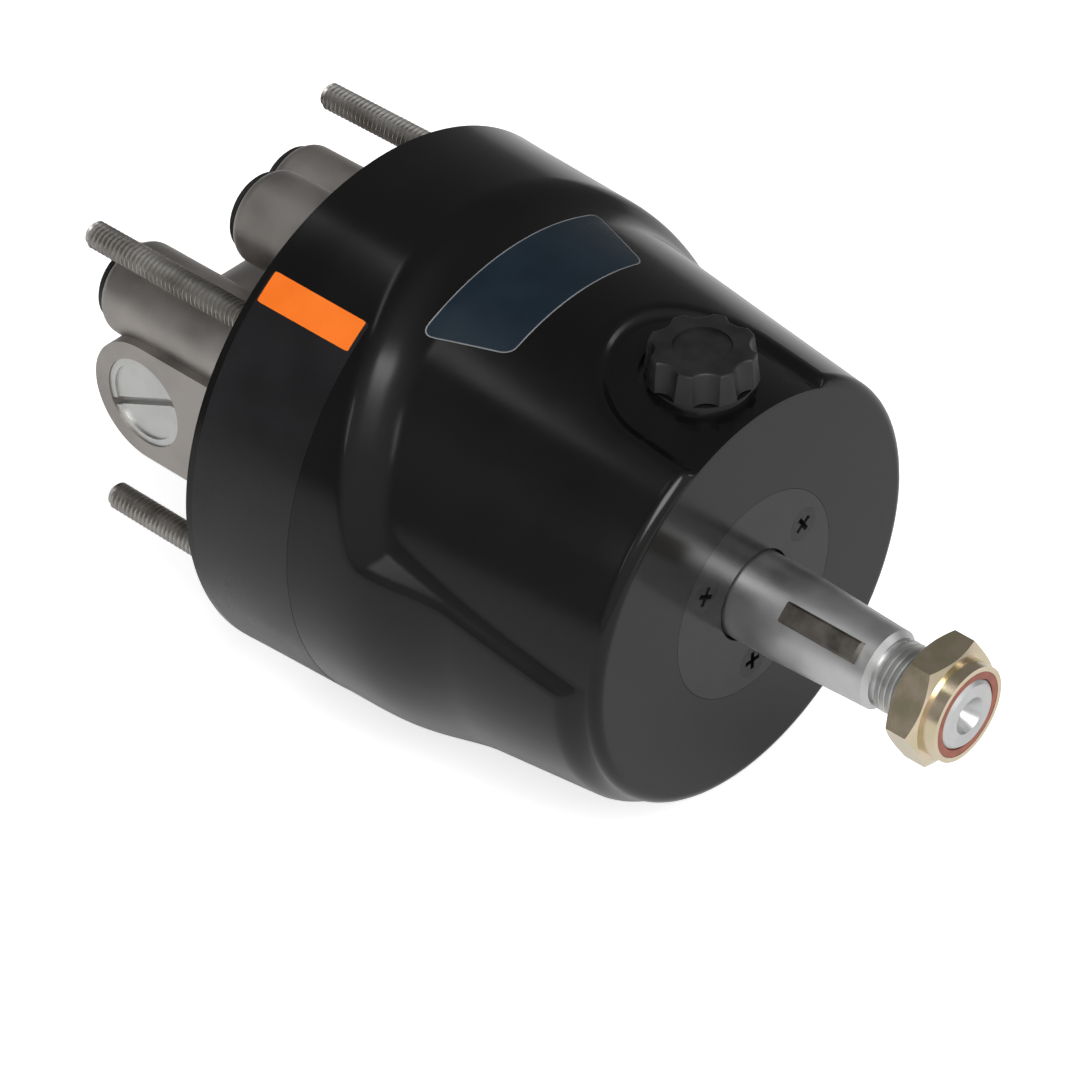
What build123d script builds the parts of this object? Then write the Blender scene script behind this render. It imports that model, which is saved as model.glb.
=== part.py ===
from build123d import *
import os
from math import atan2, cos, degrees, radians, sin, sqrt, tan

# Hydraulic helm pump: an axial-piston steering pump that is bolted behind a dash.
# Millimetres. Origin at the centre of the housing's rear face, on the shaft axis.
# The wheel shaft points to -Y, the dash studs to +Y, the filler cap up (+Z).

os.makedirs("parts", exist_ok=True)

# Housing casting
housing_length = 104.2
band_rear_r = 62.0
band_taper = 0.045
band_length = 30.2
face_r = 47.0
rim_r = 49.3
rim_length = 3.8
nose_rear_r = 61.5
nose_taper = 0.122
chin_front_r = 52.1
chin_setback = 9.0
chin_lead = (1.0, 1.2)
chin_mid_r = 55.0
chin_mid_y = -69.2
chin_blend_r = 59.8
chin_blend_y = -46.5
wall = 4.6
nose_thickening = 1.0
front_wall = 8.5

# Relief that steps the nose in from the band, over the top and down both sides
shoulder_tilt = 20.0
shoulder_origin_y = -47.0
shoulder_origin_z = 4.7
shoulder_r = 59.4
shoulder_ramp = 42.0
shoulder_reach = 18.0
step_x = 52.5
step_z = 13.8
step_y = -59.4
step_slope = 0.36
step_flank = 1.139
step_depth = 7.0
shoulder_corner_r = 8.0
shoulder_crest_r = 5.0

# Filler well and drain pad
filler_y = -88.9
well_r = 19.6
well_depth = 2.0
neck_r = 11.4
spot_r = 13.0
spot_z = 48.6
neck_top_z = 49.5
neck_depth = 5.0
neck_bore_r = 6.4
pad_r = 25.4
pad_y = -34.1
pad_z = -61.4
pad_height = 14.0
pad_edge_r = 1.5

# Rear register, web and bolt bosses
flange_r = 56.5
flange_thickness = 6.0
register_clearance = 0.2
web_thickness = 7.0
mouth_r = 43.5
boss_r = 7.6
boss_length = 20.0
stud_r = 3.175
stud_end_r = 2.9
stud_pcd = 101.6
stud_count = 4
stud_start_angle = 45.0
stud_reach = 53.0
stud_engaged = 17.0
stud_chamfer = 0.7
stud_clearance = 0.3
screw_r = 2.5
screw_ring_r = 50.8
screw_length = 16.0
screw_head_r = 4.9
screw_socket_r = 1.7
screw_count = 4
screw_sink_angle = 90.0
screw_point = 1 / 3

# Seal plate, seal and front bearing
plate_r = 24.05
plate_thickness = 3.5
plate_bore_r = 10.6
plate_spigot_r = 14.4
plate_spigot_length = 5.0
plate_fit = 0.1
thread_fit = 0.03
plate_screw_ring_r = 17.95
plate_screw_angles = (32.0, 150.0, 270.0)
plate_screw_r = 2.0
plate_screw_head_r = 3.9
plate_screw_length = 9.0
plate_cross = 4.4
plate_cross_depth = 1.6
plate_ring_r = 22.2
plate_ring_wire_r = 0.8
plate_ring_groove = 0.9
seal_r = 13.0
seal_length = 6.0
seal_wall = 0.8
bearing_r = 18.5
bearing_width = 9.0
bearing_front_y = -94.0
bearing_ball_r = 2.6
bearing_ball_count = 9
bearing_groove = 0.7
bearing_fit = 0.02
cage_half_width = 3.4
cage_fit = 0.1
ring_thickness = 1.4
ring_depth = 1.6
ring_gap = 9.0

# Wheel shaft
journal_r = 10.0
root_r = 9.93
taper_start_y = -116.0
taper_end_y = -139.2
taper_ratio = 1 / 12
thread_r = 7.94
shaft_tip_y = -160.7
relief_r = 7.0
relief_length = 1.6
centre_hole_r = 2.2
centre_sink_r = 4.2
centre_hole_depth = 9.0
centre_sink_angle = 60.0
shaft_chamfer = 0.9
shaft_round = 1.2
collar_r = 13.0
collar_length = 3.0
middle_r = 9.6
tail_r = 8.0
tail_step = 4.0
tail_end_y = 9.0
key_angle = 133.0
key_width = 4.76
key_front_y = -136.9
key_length = 19.0
key_height = 4.76
key_proud = 1.6
key_chamfer = 0.5

# Lock nut with its nylon ring
nut_flats = 24.6
nut_front_y = -160.2
nut_length = 11.0
nut_ring_r = 9.6
nut_ring_length = 2.6
nut_collar_r = 10.8
nut_collar_lip = 0.8
nut_turn = 0.0
nut_bevel_in = 0.4
nut_bevel_angle = 30.0
nut_fit = 0.06

# Inclined thrust bearing
swash_angle = 15.0
swash_y = -69.5
race_outer_r = 34.0
fixed_race_bore_r = 17.0
turning_race_bore_r = 14.5
race_thickness = 3.5
swash_ball_r = 3.5
swash_ball_ring_r = 26.9
swash_ball_count = 10
swash_groove = 1.0
cage_thickness = 2.0
hub_r = 36.0
hub_rim = 1.0
running_gap = 0.05

# Cylinder block and pistons
piston_count = 7
piston_r = 9.525
piston_pitch_r = 26.0
piston_length = 32.0
piston_bore_fit = 0.03
piston_nose_r = 30.0
piston_edge = 0.6
piston_hollow_r = 6.6
piston_hollow_depth = 22.0
piston_overtravel = 1.5
piston_end_room = 2.5
block_wall = 4.0
block_edge_r = 1.5
block_front_y = -50.0
port_hole_r = 3.4
pin_r = 3.0
pin_length = 30.0
pin_y = -44.0
spring_wire = 1.3
spring_r = 5.4
spring_turns = 3.0
spring_room = 0.4

# Valve plate, rear body and rear bush
valve_plate_r = 36.5
valve_plate_thickness = 4.0
kidney_half_angle = 62.0
dowel_r = 1.5
dowel_ring_r = 33.0
dowel_length = 8.0
spigot_length = 5.0
body_ring_wire_r = 1.3
bush_r = 11.0
bush_length = 14.0
tail_room = 1.0
base_r = 40.0
base_length = 9.0
port_x = 25.1
port_z = 16.2
port_boss_r = 11.1
port_boss_end_y = 54.0
top_port_z = 29.6
top_port_end_y = 37.7
port_edge_r = 3.2
port_bore_r = 6.6
port_bore_depth = 10.0
passage_r = 2.2
return_r = 1.5
drill_overrun = 0.05
return_z = 38.7
feed_x = 24.0
port_cap_r = 9.3
port_cap_thickness = 1.5
port_cap_stem = 8.0

# Lock valve across the rear body
lock_y = 38.8
lock_z = -1.8
lock_half_width = 38.0
lock_boss_r = 15.0
lock_bore_r = 7.0
lock_plug_r = 10.85
lock_plug_length = 12.0
lock_plug_inset = 0.4
slot_width = 1.8
slot_depth = 2.2
slot_tilt = 25.0
plug_lip = 1.6
plug_lip_depth = 0.5
plug_pocket_depth = 2.0
plug_ring_wire_r = 0.9
plug_ring_x = 31.5
gallery_x = 22.0
seat_inner_x = 8.5
seat_length = 4.0
seat_bore_r = 3.4
spool_half = 6.0
spool_pin_r = 2.2
spool_pin_tip_x = 9.9
poppet_r = 6.2
poppet_length = 4.0
poppet_tip_r = 2.2
poppet_pocket_r = 4.3
poppet_pocket = 4.0
valve_spring_r = 3.2
valve_spring_wire = 0.9
valve_spring_gap = 1.8

# Filler cap
cap_base_r = 11.9
cap_top_r = 11.1
cap_bottom_z = 49.8
cap_top_z = 56.6
cap_lobes = 8
cap_flute_r = 3.4
cap_flute_depth = 1.5
cap_turn = 0.0
cap_edge_r = 0.6
cap_recess_r = 6.2
cap_recess_depth = 0.7
cap_stem_r = 6.0
cap_stem_length = 9.0
cap_ring_wire_r = 1.0
cap_ring_squeeze = 0.2

# Worked out once from the sizes above
front_y = -housing_length
band_front_r = band_rear_r - band_taper * band_length
web_front_y = -flange_thickness - web_thickness
register_r = flange_r + register_clearance
spigot_r = mouth_r - register_clearance
spigot_front_y = -flange_thickness - spigot_length
valve_plate_front_y = spigot_front_y - valve_plate_thickness
block_rear_y = valve_plate_front_y - running_gap
block_r = piston_pitch_r + piston_r + block_wall
stack_half = race_thickness + swash_ball_r - swash_groove
tilt = radians(swash_angle)
face_axis_y = swash_y + stack_half / cos(tilt)
nose_centre_y = face_axis_y + (piston_nose_r + piston_pitch_r * sin(tilt)) / cos(tilt)
piston_tip_y = nose_centre_y - piston_nose_r + 2 * running_gap
piston_rear_y = piston_tip_y + piston_length
piston_floor_y = piston_rear_y + piston_end_room
spring_front_y = piston_tip_y + piston_length - piston_hollow_depth + piston_overtravel + spring_room
bearing_rear_y = bearing_front_y + bearing_width
bearing_ball_ring_r = (journal_r + bearing_r) / 2
collar_front_y = bearing_rear_y
neck_seat_r = neck_bore_r + 2 * cap_ring_wire_r - cap_ring_squeeze
neck_seat_depth = 2 * cap_ring_wire_r - (cap_bottom_z - neck_top_z)


def section(y):
    """Plane across the shaft axis at y: local x is X, local y is Z, and it faces the front."""
    return Plane.XZ.offset(-y)


def turned(profile, plane=Plane.XY, groove=None):
    """Solid of revolution about the plane's local y from (radius, height) corners.

    groove, where given, is (radius, height, round radius) of a ball track cut into it.
    """
    with BuildPart() as piece:
        with BuildSketch(plane):
            with BuildLine():
                Polyline(*profile, close=True)
            make_face()
            if groove:
                with Locations(groove[:2]):
                    Circle(groove[2], mode=Mode.SUBTRACT)
        revolve(axis=Axis(plane.origin, plane.y_dir))
    return piece.part


def ring(front, rear, inner, outer, plane=Plane.XY, groove=None):
    """Plain ring, or a bearing race where it has a groove."""
    corners = [(inner, front), (outer, front), (outer, rear), (inner, rear)]
    return turned(corners, plane, groove)


def round_ring(height, ring_r, wire_r, plane=Plane.XY):
    """Round-section ring about the plane's local y."""
    with BuildPart() as piece:
        with BuildSketch(plane):
            with Locations((ring_r, height)):
                Circle(wire_r)
        revolve(axis=Axis(plane.origin, plane.y_dir))
    return piece.part


def coil(seat, length, ring_r, wire, turns):
    """Flat-wire compression spring that stands on the plane seat and rises along its normal."""
    with BuildPart() as piece:
        with BuildLine() as path:
            Helix((length - wire) / turns, length - wire, ring_r)
        with BuildSketch(Plane(origin=path.line @ 0, x_dir=(1, 0, 0), z_dir=path.line % 0)):
            Rectangle(wire, wire)
        sweep(path=path.line, is_frenet=True)
    return seat.offset(wire / 2).location * piece.part


def keep(piece, name):
    """Label a finished piece with its node name and write it to its own file."""
    piece.part.label = name
    export_step(piece.part, f"parts/{name}.step")


rear_face = Plane(origin=(0, 0, 0), x_dir=(1, 0, 0), z_dir=(0, 1, 0))


def nose_radius(y):
    """Outer radius of the nose cone at y."""
    return nose_rear_r + nose_taper * y


# Nose of the housing: the inner cone that shows inside the relief
with BuildPart() as nose:
    with BuildSketch(Plane.XY):
        with BuildLine():
            Line((0, front_y), (face_r, front_y))
            TangentArc((face_r, front_y), (rim_r, front_y + rim_length), tangent=(1, 0))
            Polyline((rim_r, front_y + rim_length), (nose_radius(0), 0), (0, 0), (0, front_y))
        make_face()
    revolve(axis=Axis.Y)

# Band and chin: the fuller outer body before the relief is taken out of it
with BuildPart() as outer:
    with BuildSketch(Plane.XY):
        with BuildLine():
            start = (rim_r, front_y + rim_length)
            chin_front = (chin_front_r, front_y + chin_setback)
            Line((0, start[1]), start)
            TangentArc(start, chin_front, tangent=chin_lead)
            chin_mid = (chin_mid_r, chin_mid_y)
            Line(chin_front, chin_mid)
            Spline(
                chin_mid,
                (chin_blend_r, chin_blend_y),
                (band_front_r, -band_length),
                tangents=[
                    (chin_mid_r - chin_front_r, chin_mid_y - chin_front[1]),
                    (band_taper, 1),
                ],
            )
            Polyline((band_front_r, -band_length), (band_rear_r, 0), (0, 0), (0, start[1]))
        make_face()
    revolve(axis=Axis.Y)

# Relief tool: a dish with slanted flanks, cut off at the rear by a tilted cone
lean = radians(shoulder_tilt)
shoulder_origin = Vector(0, shoulder_origin_y, shoulder_origin_z)
shoulder_axis = Vector(0, cos(lean), -sin(lean))
shoulder_plane = Plane(origin=shoulder_origin, x_dir=(1, 0, 0), z_dir=(0, sin(lean), cos(lean)))
ramp_rise = tan(radians(shoulder_ramp))
relief_front = 90.0
relief_top = 90.0
relief_half_width = 75.0
with BuildPart() as relief:
    with BuildSketch(section(step_y - relief_front)):
        drop = step_slope * relief_front
        inner_x = step_x - step_depth
        inner_z = step_z + step_flank * step_depth - drop
        outer_z = step_z - step_flank * (relief_half_width - step_x) - drop
        with BuildLine():
            Polyline(
                (-relief_half_width, outer_z),
                (-inner_x, inner_z),
                (inner_x, inner_z),
                (relief_half_width, outer_z),
                (relief_half_width, relief_top),
                (-relief_half_width, relief_top),
                close=True,
            )
        make_face()
    extrude(amount=2 * relief_front, dir=(0, 1, step_slope))
    with BuildSketch(shoulder_plane):
        with BuildLine():
            Polyline(
                (0, -2 * relief_front),
                (shoulder_r + shoulder_reach, -2 * relief_front),
                (shoulder_r + shoulder_reach, shoulder_reach / ramp_rise),
                (shoulder_r - shoulder_reach, -shoulder_reach / ramp_rise),
                (0, -shoulder_reach / ramp_rise),
                close=True,
            )
        make_face()
    revolve(axis=Axis(shoulder_origin, shoulder_axis), mode=Mode.INTERSECT)

    corners = relief.edges().filter_by(
        lambda edge: edge.geom_type == GeomType.HYPERBOLA
        and abs(edge.position_at(0.5).X) > step_x
        and edge.length > shoulder_reach
    )
    fillet(corners, shoulder_corner_r)


def stands_proud(edge):
    """True for an edge of the relief's crest: it lies clear of the nose cone all along."""
    spots = [edge.position_at(t) for t in (0, 0.5, 1)]
    reach = [sqrt(spot.X**2 + spot.Z**2) - nose_radius(spot.Y) for spot in spots]
    return min(reach) > -0.1 and sum(reach) > 1.0


# Well round the filler neck, open to the front, with a floor that follows the cone
with BuildPart() as well:
    with BuildSketch(Plane.XY):
        with Locations((0, filler_y)):
            Circle(well_r)
        with Locations((0, front_y)):
            Rectangle(2 * well_r, 2 * (filler_y - front_y))
    extrude(amount=housing_length)
    with BuildSketch(Plane.XY):
        with BuildLine():
            floor_rear_r = nose_rear_r - well_depth
            Polyline(
                (0, 2 * front_y),
                (floor_rear_r + 2 * nose_taper * front_y, 2 * front_y),
                (floor_rear_r, 0),
                (0, 0),
                close=True,
            )
        make_face()
    revolve(axis=Axis.Y, mode=Mode.SUBTRACT)
    with BuildSketch(Plane.XY.offset(spot_z)):
        with Locations((0, filler_y)):
            Circle(spot_r)
    extrude(amount=housing_length)

# Drain pad under the band, with a rounded rim
with BuildPart() as pad:
    with BuildSketch(Plane.XY.offset(pad_z)):
        with Locations((0, pad_y)):
            Circle(pad_r)
    extrude(amount=pad_height)
    fillet(pad.edges().sort_by(Axis.Z)[0], pad_edge_r)

# Hub inside the nose, cut off on the slant with a rimmed seat for the thrust bearing
swash_plane = Plane(origin=(0, swash_y, 0), x_dir=(1, 0, 0), z_dir=(0, cos(tilt), sin(tilt)))
swash_profile = Plane(origin=(0, swash_y, 0), x_dir=(1, 0, 0), z_dir=(0, -sin(tilt), cos(tilt)))
with BuildPart() as hub:
    with BuildSketch(section(front_y)):
        Circle(hub_r)
    extrude(amount=-housing_length)
    split(bisect_by=swash_plane.offset(hub_rim - stack_half), keep=Keep.BOTTOM)
    add(ring(-stack_half, 0, 0, race_outer_r + plate_fit, swash_profile), mode=Mode.SUBTRACT)

# Oil space in the housing: reservoir, rear mouth and register, less the hub and bolt bosses
with BuildPart() as hollow:
    with BuildSketch(Plane.XY):
        with BuildLine():
            deep_y = front_y + front_wall
            Polyline(
                (0, deep_y),
                (nose_radius(deep_y) - wall - nose_thickening, deep_y),
                (nose_radius(web_front_y) - wall, web_front_y),
                (mouth_r, web_front_y),
                (mouth_r, -flange_thickness),
                (register_r, -flange_thickness),
                (register_r, stud_r),
                (0, stud_r),
                close=True,
            )
        make_face()
    revolve(axis=Axis.Y)
    add(hub.part, mode=Mode.SUBTRACT)
    with BuildSketch(section(web_front_y)):
        with PolarLocations(stud_pcd / 2, stud_count, start_angle=stud_start_angle):
            Circle(boss_r)
        with PolarLocations(screw_ring_r, screw_count):
            Circle(boss_r)
    extrude(amount=boss_length, mode=Mode.SUBTRACT)

# Everything bored on the shaft axis from the front: plate recess, spigot, seal, bearing, ring
with BuildPart() as front_bores:
    with BuildSketch(Plane.XY):
        with BuildLine():
            spigot_bore_r = plate_spigot_r + plate_fit
            recess_floor_y = front_y + plate_thickness
            Polyline(
                (0, 2 * front_y),
                (plate_r + plate_fit, 2 * front_y),
                (plate_r + plate_fit, recess_floor_y),
                (plate_ring_r + plate_ring_groove, recess_floor_y),
                (plate_ring_r + plate_ring_groove, recess_floor_y + 2 * plate_ring_wire_r),
                (plate_ring_r - plate_ring_groove, recess_floor_y + 2 * plate_ring_wire_r),
                (plate_ring_r - plate_ring_groove, recess_floor_y),
                (spigot_bore_r, recess_floor_y),
                (spigot_bore_r, bearing_front_y),
                (bearing_r + bearing_fit, bearing_front_y),
                (bearing_r + bearing_fit, bearing_rear_y),
                (bearing_r + ring_depth, bearing_rear_y),
                (bearing_r + ring_depth, bearing_rear_y + ring_thickness),
                (bearing_r + bearing_fit, bearing_rear_y + ring_thickness),
                (bearing_r + bearing_fit, swash_y),
                (0, swash_y),
                close=True,
            )
        make_face()
    revolve(axis=Axis.Y)

# Housing: fuller body, relief taken out with a rounded crest, nose put back in
with BuildPart() as housing:
    add(outer.part)
    add(relief.part, mode=Mode.SUBTRACT)
    crest = housing.edges(Select.LAST).filter_by(GeomType.BSPLINE)
    crest += housing.edges(Select.LAST).filter_by(GeomType.ELLIPSE)
    fillet(crest.filter_by(stands_proud), shoulder_crest_r)
    add(nose.part)
    add(pad.part)
    add(well.part, mode=Mode.SUBTRACT)
    # Filler neck
    with BuildSketch(Plane.XY.offset(neck_top_z)):
        with Locations((0, filler_y)):
            Circle(neck_r)
    extrude(amount=-neck_depth)
    add(hollow.part, mode=Mode.SUBTRACT)
    add(front_bores.part, mode=Mode.SUBTRACT)
    with Locations((0, filler_y, neck_top_z)):
        CounterBoreHole(neck_bore_r, neck_seat_r, neck_seat_depth, 2 * neck_depth)
    # Tapped holes for the plate screws, the dash studs and the cover screws
    for angle in plate_screw_angles:
        with BuildSketch(section(front_y)):
            with PolarLocations(plate_screw_ring_r, 1, start_angle=angle):
                Circle(plate_screw_r + thread_fit)
        extrude(amount=-plate_screw_length - thread_fit, mode=Mode.SUBTRACT)
    with BuildSketch(section(0)):
        with PolarLocations(stud_pcd / 2, stud_count, start_angle=stud_start_angle):
            Circle(stud_end_r + thread_fit)
    extrude(amount=stud_engaged + thread_fit, mode=Mode.SUBTRACT)
    with BuildSketch(section(0)):
        with PolarLocations(screw_ring_r, screw_count):
            Circle(screw_r + thread_fit)
    extrude(amount=screw_length + thread_fit, mode=Mode.SUBTRACT)
keep(housing, "housing")

# Seal plate: flush in the face, with a spigot that holds the shaft seal
with BuildPart() as seal_plate:
    add(ring(front_y, recess_floor_y, plate_bore_r, plate_r))
    spigot_end_y = recess_floor_y + plate_spigot_length
    add(ring(recess_floor_y, spigot_end_y, seal_r + plate_fit, plate_spigot_r))
    add(ring(spigot_end_y - seal_length, recess_floor_y, 0, seal_r + plate_fit), mode=Mode.SUBTRACT)
    for angle in plate_screw_angles:
        with Locations(section(front_y)):
            with PolarLocations(plate_screw_ring_r, 1, start_angle=angle):
                CounterSinkHole(
                    plate_screw_r + thread_fit,
                    plate_screw_head_r + thread_fit,
                    counter_sink_angle=screw_sink_angle,
                )
keep(seal_plate, "seal_plate")


def cross_recess(size, depth):
    """Cross-shaped recess of a screw head, sunk from the plane z = 0."""
    with BuildPart() as piece:
        with BuildSketch(Plane.XY):
            Rectangle(size, size / 4)
            Rectangle(size / 4, size)
        extrude(amount=-depth)
    return piece.part


def countersunk_screw(shank_r, head_r, length, recess):
    """Flat-head screw that stands on the plane z = 0 with its shank down -Z."""
    with BuildPart() as piece:
        with BuildSketch(Plane.XZ):
            with BuildLine():
                Polyline(
                    (0, 0),
                    (head_r, 0),
                    (shank_r, shank_r - head_r),
                    (shank_r, -length + screw_point * shank_r),
                    ((1 - screw_point) * shank_r, -length),
                    (0, -length),
                    close=True,
                )
            make_face()
        revolve(axis=Axis.Z)
        add(recess, mode=Mode.SUBTRACT)
    return piece.part


plate_screw = countersunk_screw(
    plate_screw_r, plate_screw_head_r, plate_screw_length, cross_recess(plate_cross, plate_cross_depth)
)
with BuildPart() as seal_plate_screws:
    for angle in plate_screw_angles:
        with Locations(section(front_y)):
            with PolarLocations(plate_screw_ring_r, 1, start_angle=angle):
                add(plate_screw)
keep(seal_plate_screws, "seal_plate_screws")

with BuildPart() as seal_plate_o_ring:
    add(round_ring(recess_floor_y + plate_ring_wire_r, plate_ring_r, plate_ring_wire_r - thread_fit))
keep(seal_plate_o_ring, "seal_plate_o_ring")

# Shaft seal: a cup whose lip meets the shaft in front
with BuildPart() as shaft_seal:
    seal_front_y = spigot_end_y - seal_length
    add(
        turned(
            [
                (root_r + running_gap, seal_front_y + plate_fit),
                (seal_r, seal_front_y + plate_fit),
                (seal_r, spigot_end_y),
                (seal_r - seal_wall, spigot_end_y),
                (seal_r - seal_wall, seal_front_y + 2 * seal_wall),
                (root_r + 2 * seal_wall, seal_front_y + 2 * seal_wall),
                (root_r + running_gap, seal_front_y + 4 * seal_wall),
            ]
        )
    )
keep(shaft_seal, "shaft_seal")

# Front ball bearing
ball_mid_y = bearing_front_y + bearing_width / 2
track = bearing_ball_r + running_gap / 2
race_lip = bearing_ball_r - bearing_groove
with BuildPart() as front_bearing_outer_race:
    lip_r = bearing_ball_ring_r + race_lip
    add(
        ring(
            bearing_front_y,
            bearing_rear_y,
            lip_r,
            bearing_r,
            groove=(bearing_ball_ring_r, ball_mid_y, track),
        )
    )
keep(front_bearing_outer_race, "front_bearing_outer_race")

with BuildPart() as front_bearing_inner_race:
    lip_r = bearing_ball_ring_r - race_lip
    add(
        ring(
            bearing_front_y,
            bearing_rear_y,
            journal_r + thread_fit,
            lip_r,
            groove=(bearing_ball_ring_r, ball_mid_y, track),
        )
    )
keep(front_bearing_inner_race, "front_bearing_inner_race")

with BuildPart() as front_bearing_balls:
    with Locations(section(ball_mid_y)):
        with PolarLocations(bearing_ball_ring_r, bearing_ball_count):
            Sphere(bearing_ball_r)
keep(front_bearing_balls, "front_bearing_balls")

with BuildPart() as front_bearing_cage:
    add(
        ring(
            ball_mid_y - cage_half_width,
            ball_mid_y + cage_half_width,
            bearing_ball_ring_r - cage_thickness / 2,
            bearing_ball_ring_r + cage_thickness / 2,
        )
    )
    with Locations(section(ball_mid_y)):
        with PolarLocations(bearing_ball_ring_r, bearing_ball_count):
            Cylinder(
                bearing_ball_r + cage_fit, 2 * cage_thickness, rotation=(0, 90, 0), mode=Mode.SUBTRACT
            )
keep(front_bearing_cage, "front_bearing_cage")

with BuildPart() as bearing_retaining_ring:
    add(
        ring(
            bearing_rear_y + thread_fit,
            bearing_rear_y + ring_thickness - thread_fit,
            bearing_r - ring_depth,
            bearing_r + ring_depth - plate_fit,
        )
    )
    with BuildSketch(section(bearing_rear_y)):
        with Locations((0, bearing_r)):
            Rectangle(ring_gap, 2 * ring_gap)
    extrude(amount=-2 * ring_thickness, mode=Mode.SUBTRACT)
keep(bearing_retaining_ring, "bearing_retaining_ring")

# Wheel shaft: thread, taper, seal land, journal, collar, drive part and tail
taper_end_r = root_r - (taper_start_y - taper_end_y) * taper_ratio / 2
thread_end_y = taper_end_y - relief_length
tail_start_y = block_rear_y - tail_step
key_middle_y = key_front_y + key_length / 2
key_top_r = root_r - (taper_start_y - key_middle_y) * taper_ratio / 2 + key_proud
with BuildPart() as wheel_shaft:
    add(
        turned(
            [
                (0, shaft_tip_y),
                (thread_r - shaft_chamfer, shaft_tip_y),
                (thread_r, shaft_tip_y + shaft_chamfer),
                (thread_r, thread_end_y - relief_length),
                (relief_r, thread_end_y - relief_length),
                (relief_r, thread_end_y),
                (taper_end_r - shaft_round, thread_end_y),
                (taper_end_r, thread_end_y + shaft_round),
                (taper_end_r, taper_end_y),
                (root_r, taper_start_y),
                (root_r, spigot_end_y),
                (journal_r, spigot_end_y + shaft_chamfer),
                (journal_r, collar_front_y),
                (collar_r, collar_front_y),
                (collar_r, collar_front_y + collar_length),
                (middle_r, collar_front_y + collar_length),
                (middle_r, tail_start_y),
                (tail_r, tail_start_y),
                (tail_r, tail_end_y - shaft_chamfer),
                (tail_r - shaft_chamfer, tail_end_y),
                (0, tail_end_y),
            ]
        )
    )
    with Locations(section(shaft_tip_y)):
        CounterSinkHole(
            centre_hole_r, centre_sink_r, centre_hole_depth, counter_sink_angle=centre_sink_angle
        )
    # Key seat
    key_plane = Plane.XY.rotated((0, 90 - key_angle, 0)).offset(key_top_r - key_height)
    with BuildSketch(key_plane):
        with Locations((0, key_middle_y)):
            Rectangle(key_width + 2 * thread_fit, key_length + 2 * thread_fit)
    extrude(amount=2 * key_height, mode=Mode.SUBTRACT)
    # Cross hole for the drive pin
    with BuildSketch(Plane.YZ):
        with Locations((pin_y, 0)):
            Circle(pin_r + thread_fit)
    extrude(amount=pin_length, both=True, mode=Mode.SUBTRACT)
keep(wheel_shaft, "wheel_shaft")

with BuildPart() as shaft_key:
    with BuildSketch(key_plane):
        with Locations((0, key_middle_y)):
            Rectangle(key_width, key_length)
    extrude(amount=key_height)
    chamfer(shaft_key.edges().filter_by(Axis.Y), key_chamfer)
keep(shaft_key, "shaft_key")

# Lock nut: hexagon with a collar that holds the nylon ring
with BuildPart() as shaft_nut:
    nut_rear_y = nut_front_y + nut_length
    hex_front_y = nut_front_y + nut_ring_length + nut_collar_lip
    with BuildSketch(section(nut_rear_y)):
        RegularPolygon(nut_flats / 2, 6, major_radius=False, rotation=nut_turn)
    extrude(amount=nut_rear_y - hex_front_y)
    corner_r = nut_flats / sqrt(3)
    bevel = nut_flats / 2 - nut_bevel_in
    bevel_height = (corner_r - bevel) * tan(radians(nut_bevel_angle))
    add(
        turned(
            [
                (0, hex_front_y),
                (bevel, hex_front_y),
                (corner_r, hex_front_y + bevel_height),
                (corner_r, nut_rear_y - bevel_height),
                (bevel, nut_rear_y),
                (0, nut_rear_y),
            ]
        ),
        mode=Mode.INTERSECT,
    )
    add(ring(nut_front_y, hex_front_y, 0, nut_collar_r))
    add(ring(nut_front_y, nut_rear_y, 0, thread_r + nut_fit), mode=Mode.SUBTRACT)
    pocket_end_y = nut_front_y + nut_ring_length + nut_fit
    add(ring(nut_front_y, pocket_end_y, 0, nut_ring_r + nut_fit), mode=Mode.SUBTRACT)
keep(shaft_nut, "shaft_nut")

with BuildPart() as nut_lock_ring:
    add(ring(nut_front_y + nut_fit, nut_front_y + nut_ring_length, thread_r + nut_fit, nut_ring_r))
keep(nut_lock_ring, "nut_lock_ring")

# Inclined thrust bearing: fixed race, balls in their cage, turning race
swash_track = (swash_ball_ring_r, 0, swash_ball_r + running_gap / 2)
race_face = stack_half - race_thickness
with BuildPart() as swash_fixed_race:
    add(ring(-stack_half, -race_face, fixed_race_bore_r, race_outer_r, swash_profile, swash_track))
keep(swash_fixed_race, "swash_fixed_race")

with BuildPart() as swash_turning_race:
    add(ring(race_face, stack_half, turning_race_bore_r, race_outer_r, swash_profile, swash_track))
keep(swash_turning_race, "swash_turning_race")

with BuildPart() as swash_balls:
    with Locations(swash_plane):
        with PolarLocations(swash_ball_ring_r, swash_ball_count):
            Sphere(swash_ball_r)
keep(swash_balls, "swash_balls")

with BuildPart() as swash_ball_cage:
    cage_reach = swash_ball_r + cage_thickness
    add(
        ring(
            -cage_thickness / 2,
            cage_thickness / 2,
            swash_ball_ring_r - cage_reach,
            swash_ball_ring_r + cage_reach,
            swash_profile,
        )
    )
    with Locations(swash_plane):
        with PolarLocations(swash_ball_ring_r, swash_ball_count):
            Cylinder(swash_ball_r + cage_fit, 2 * cage_thickness, mode=Mode.SUBTRACT)
keep(swash_ball_cage, "swash_ball_cage")

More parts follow.
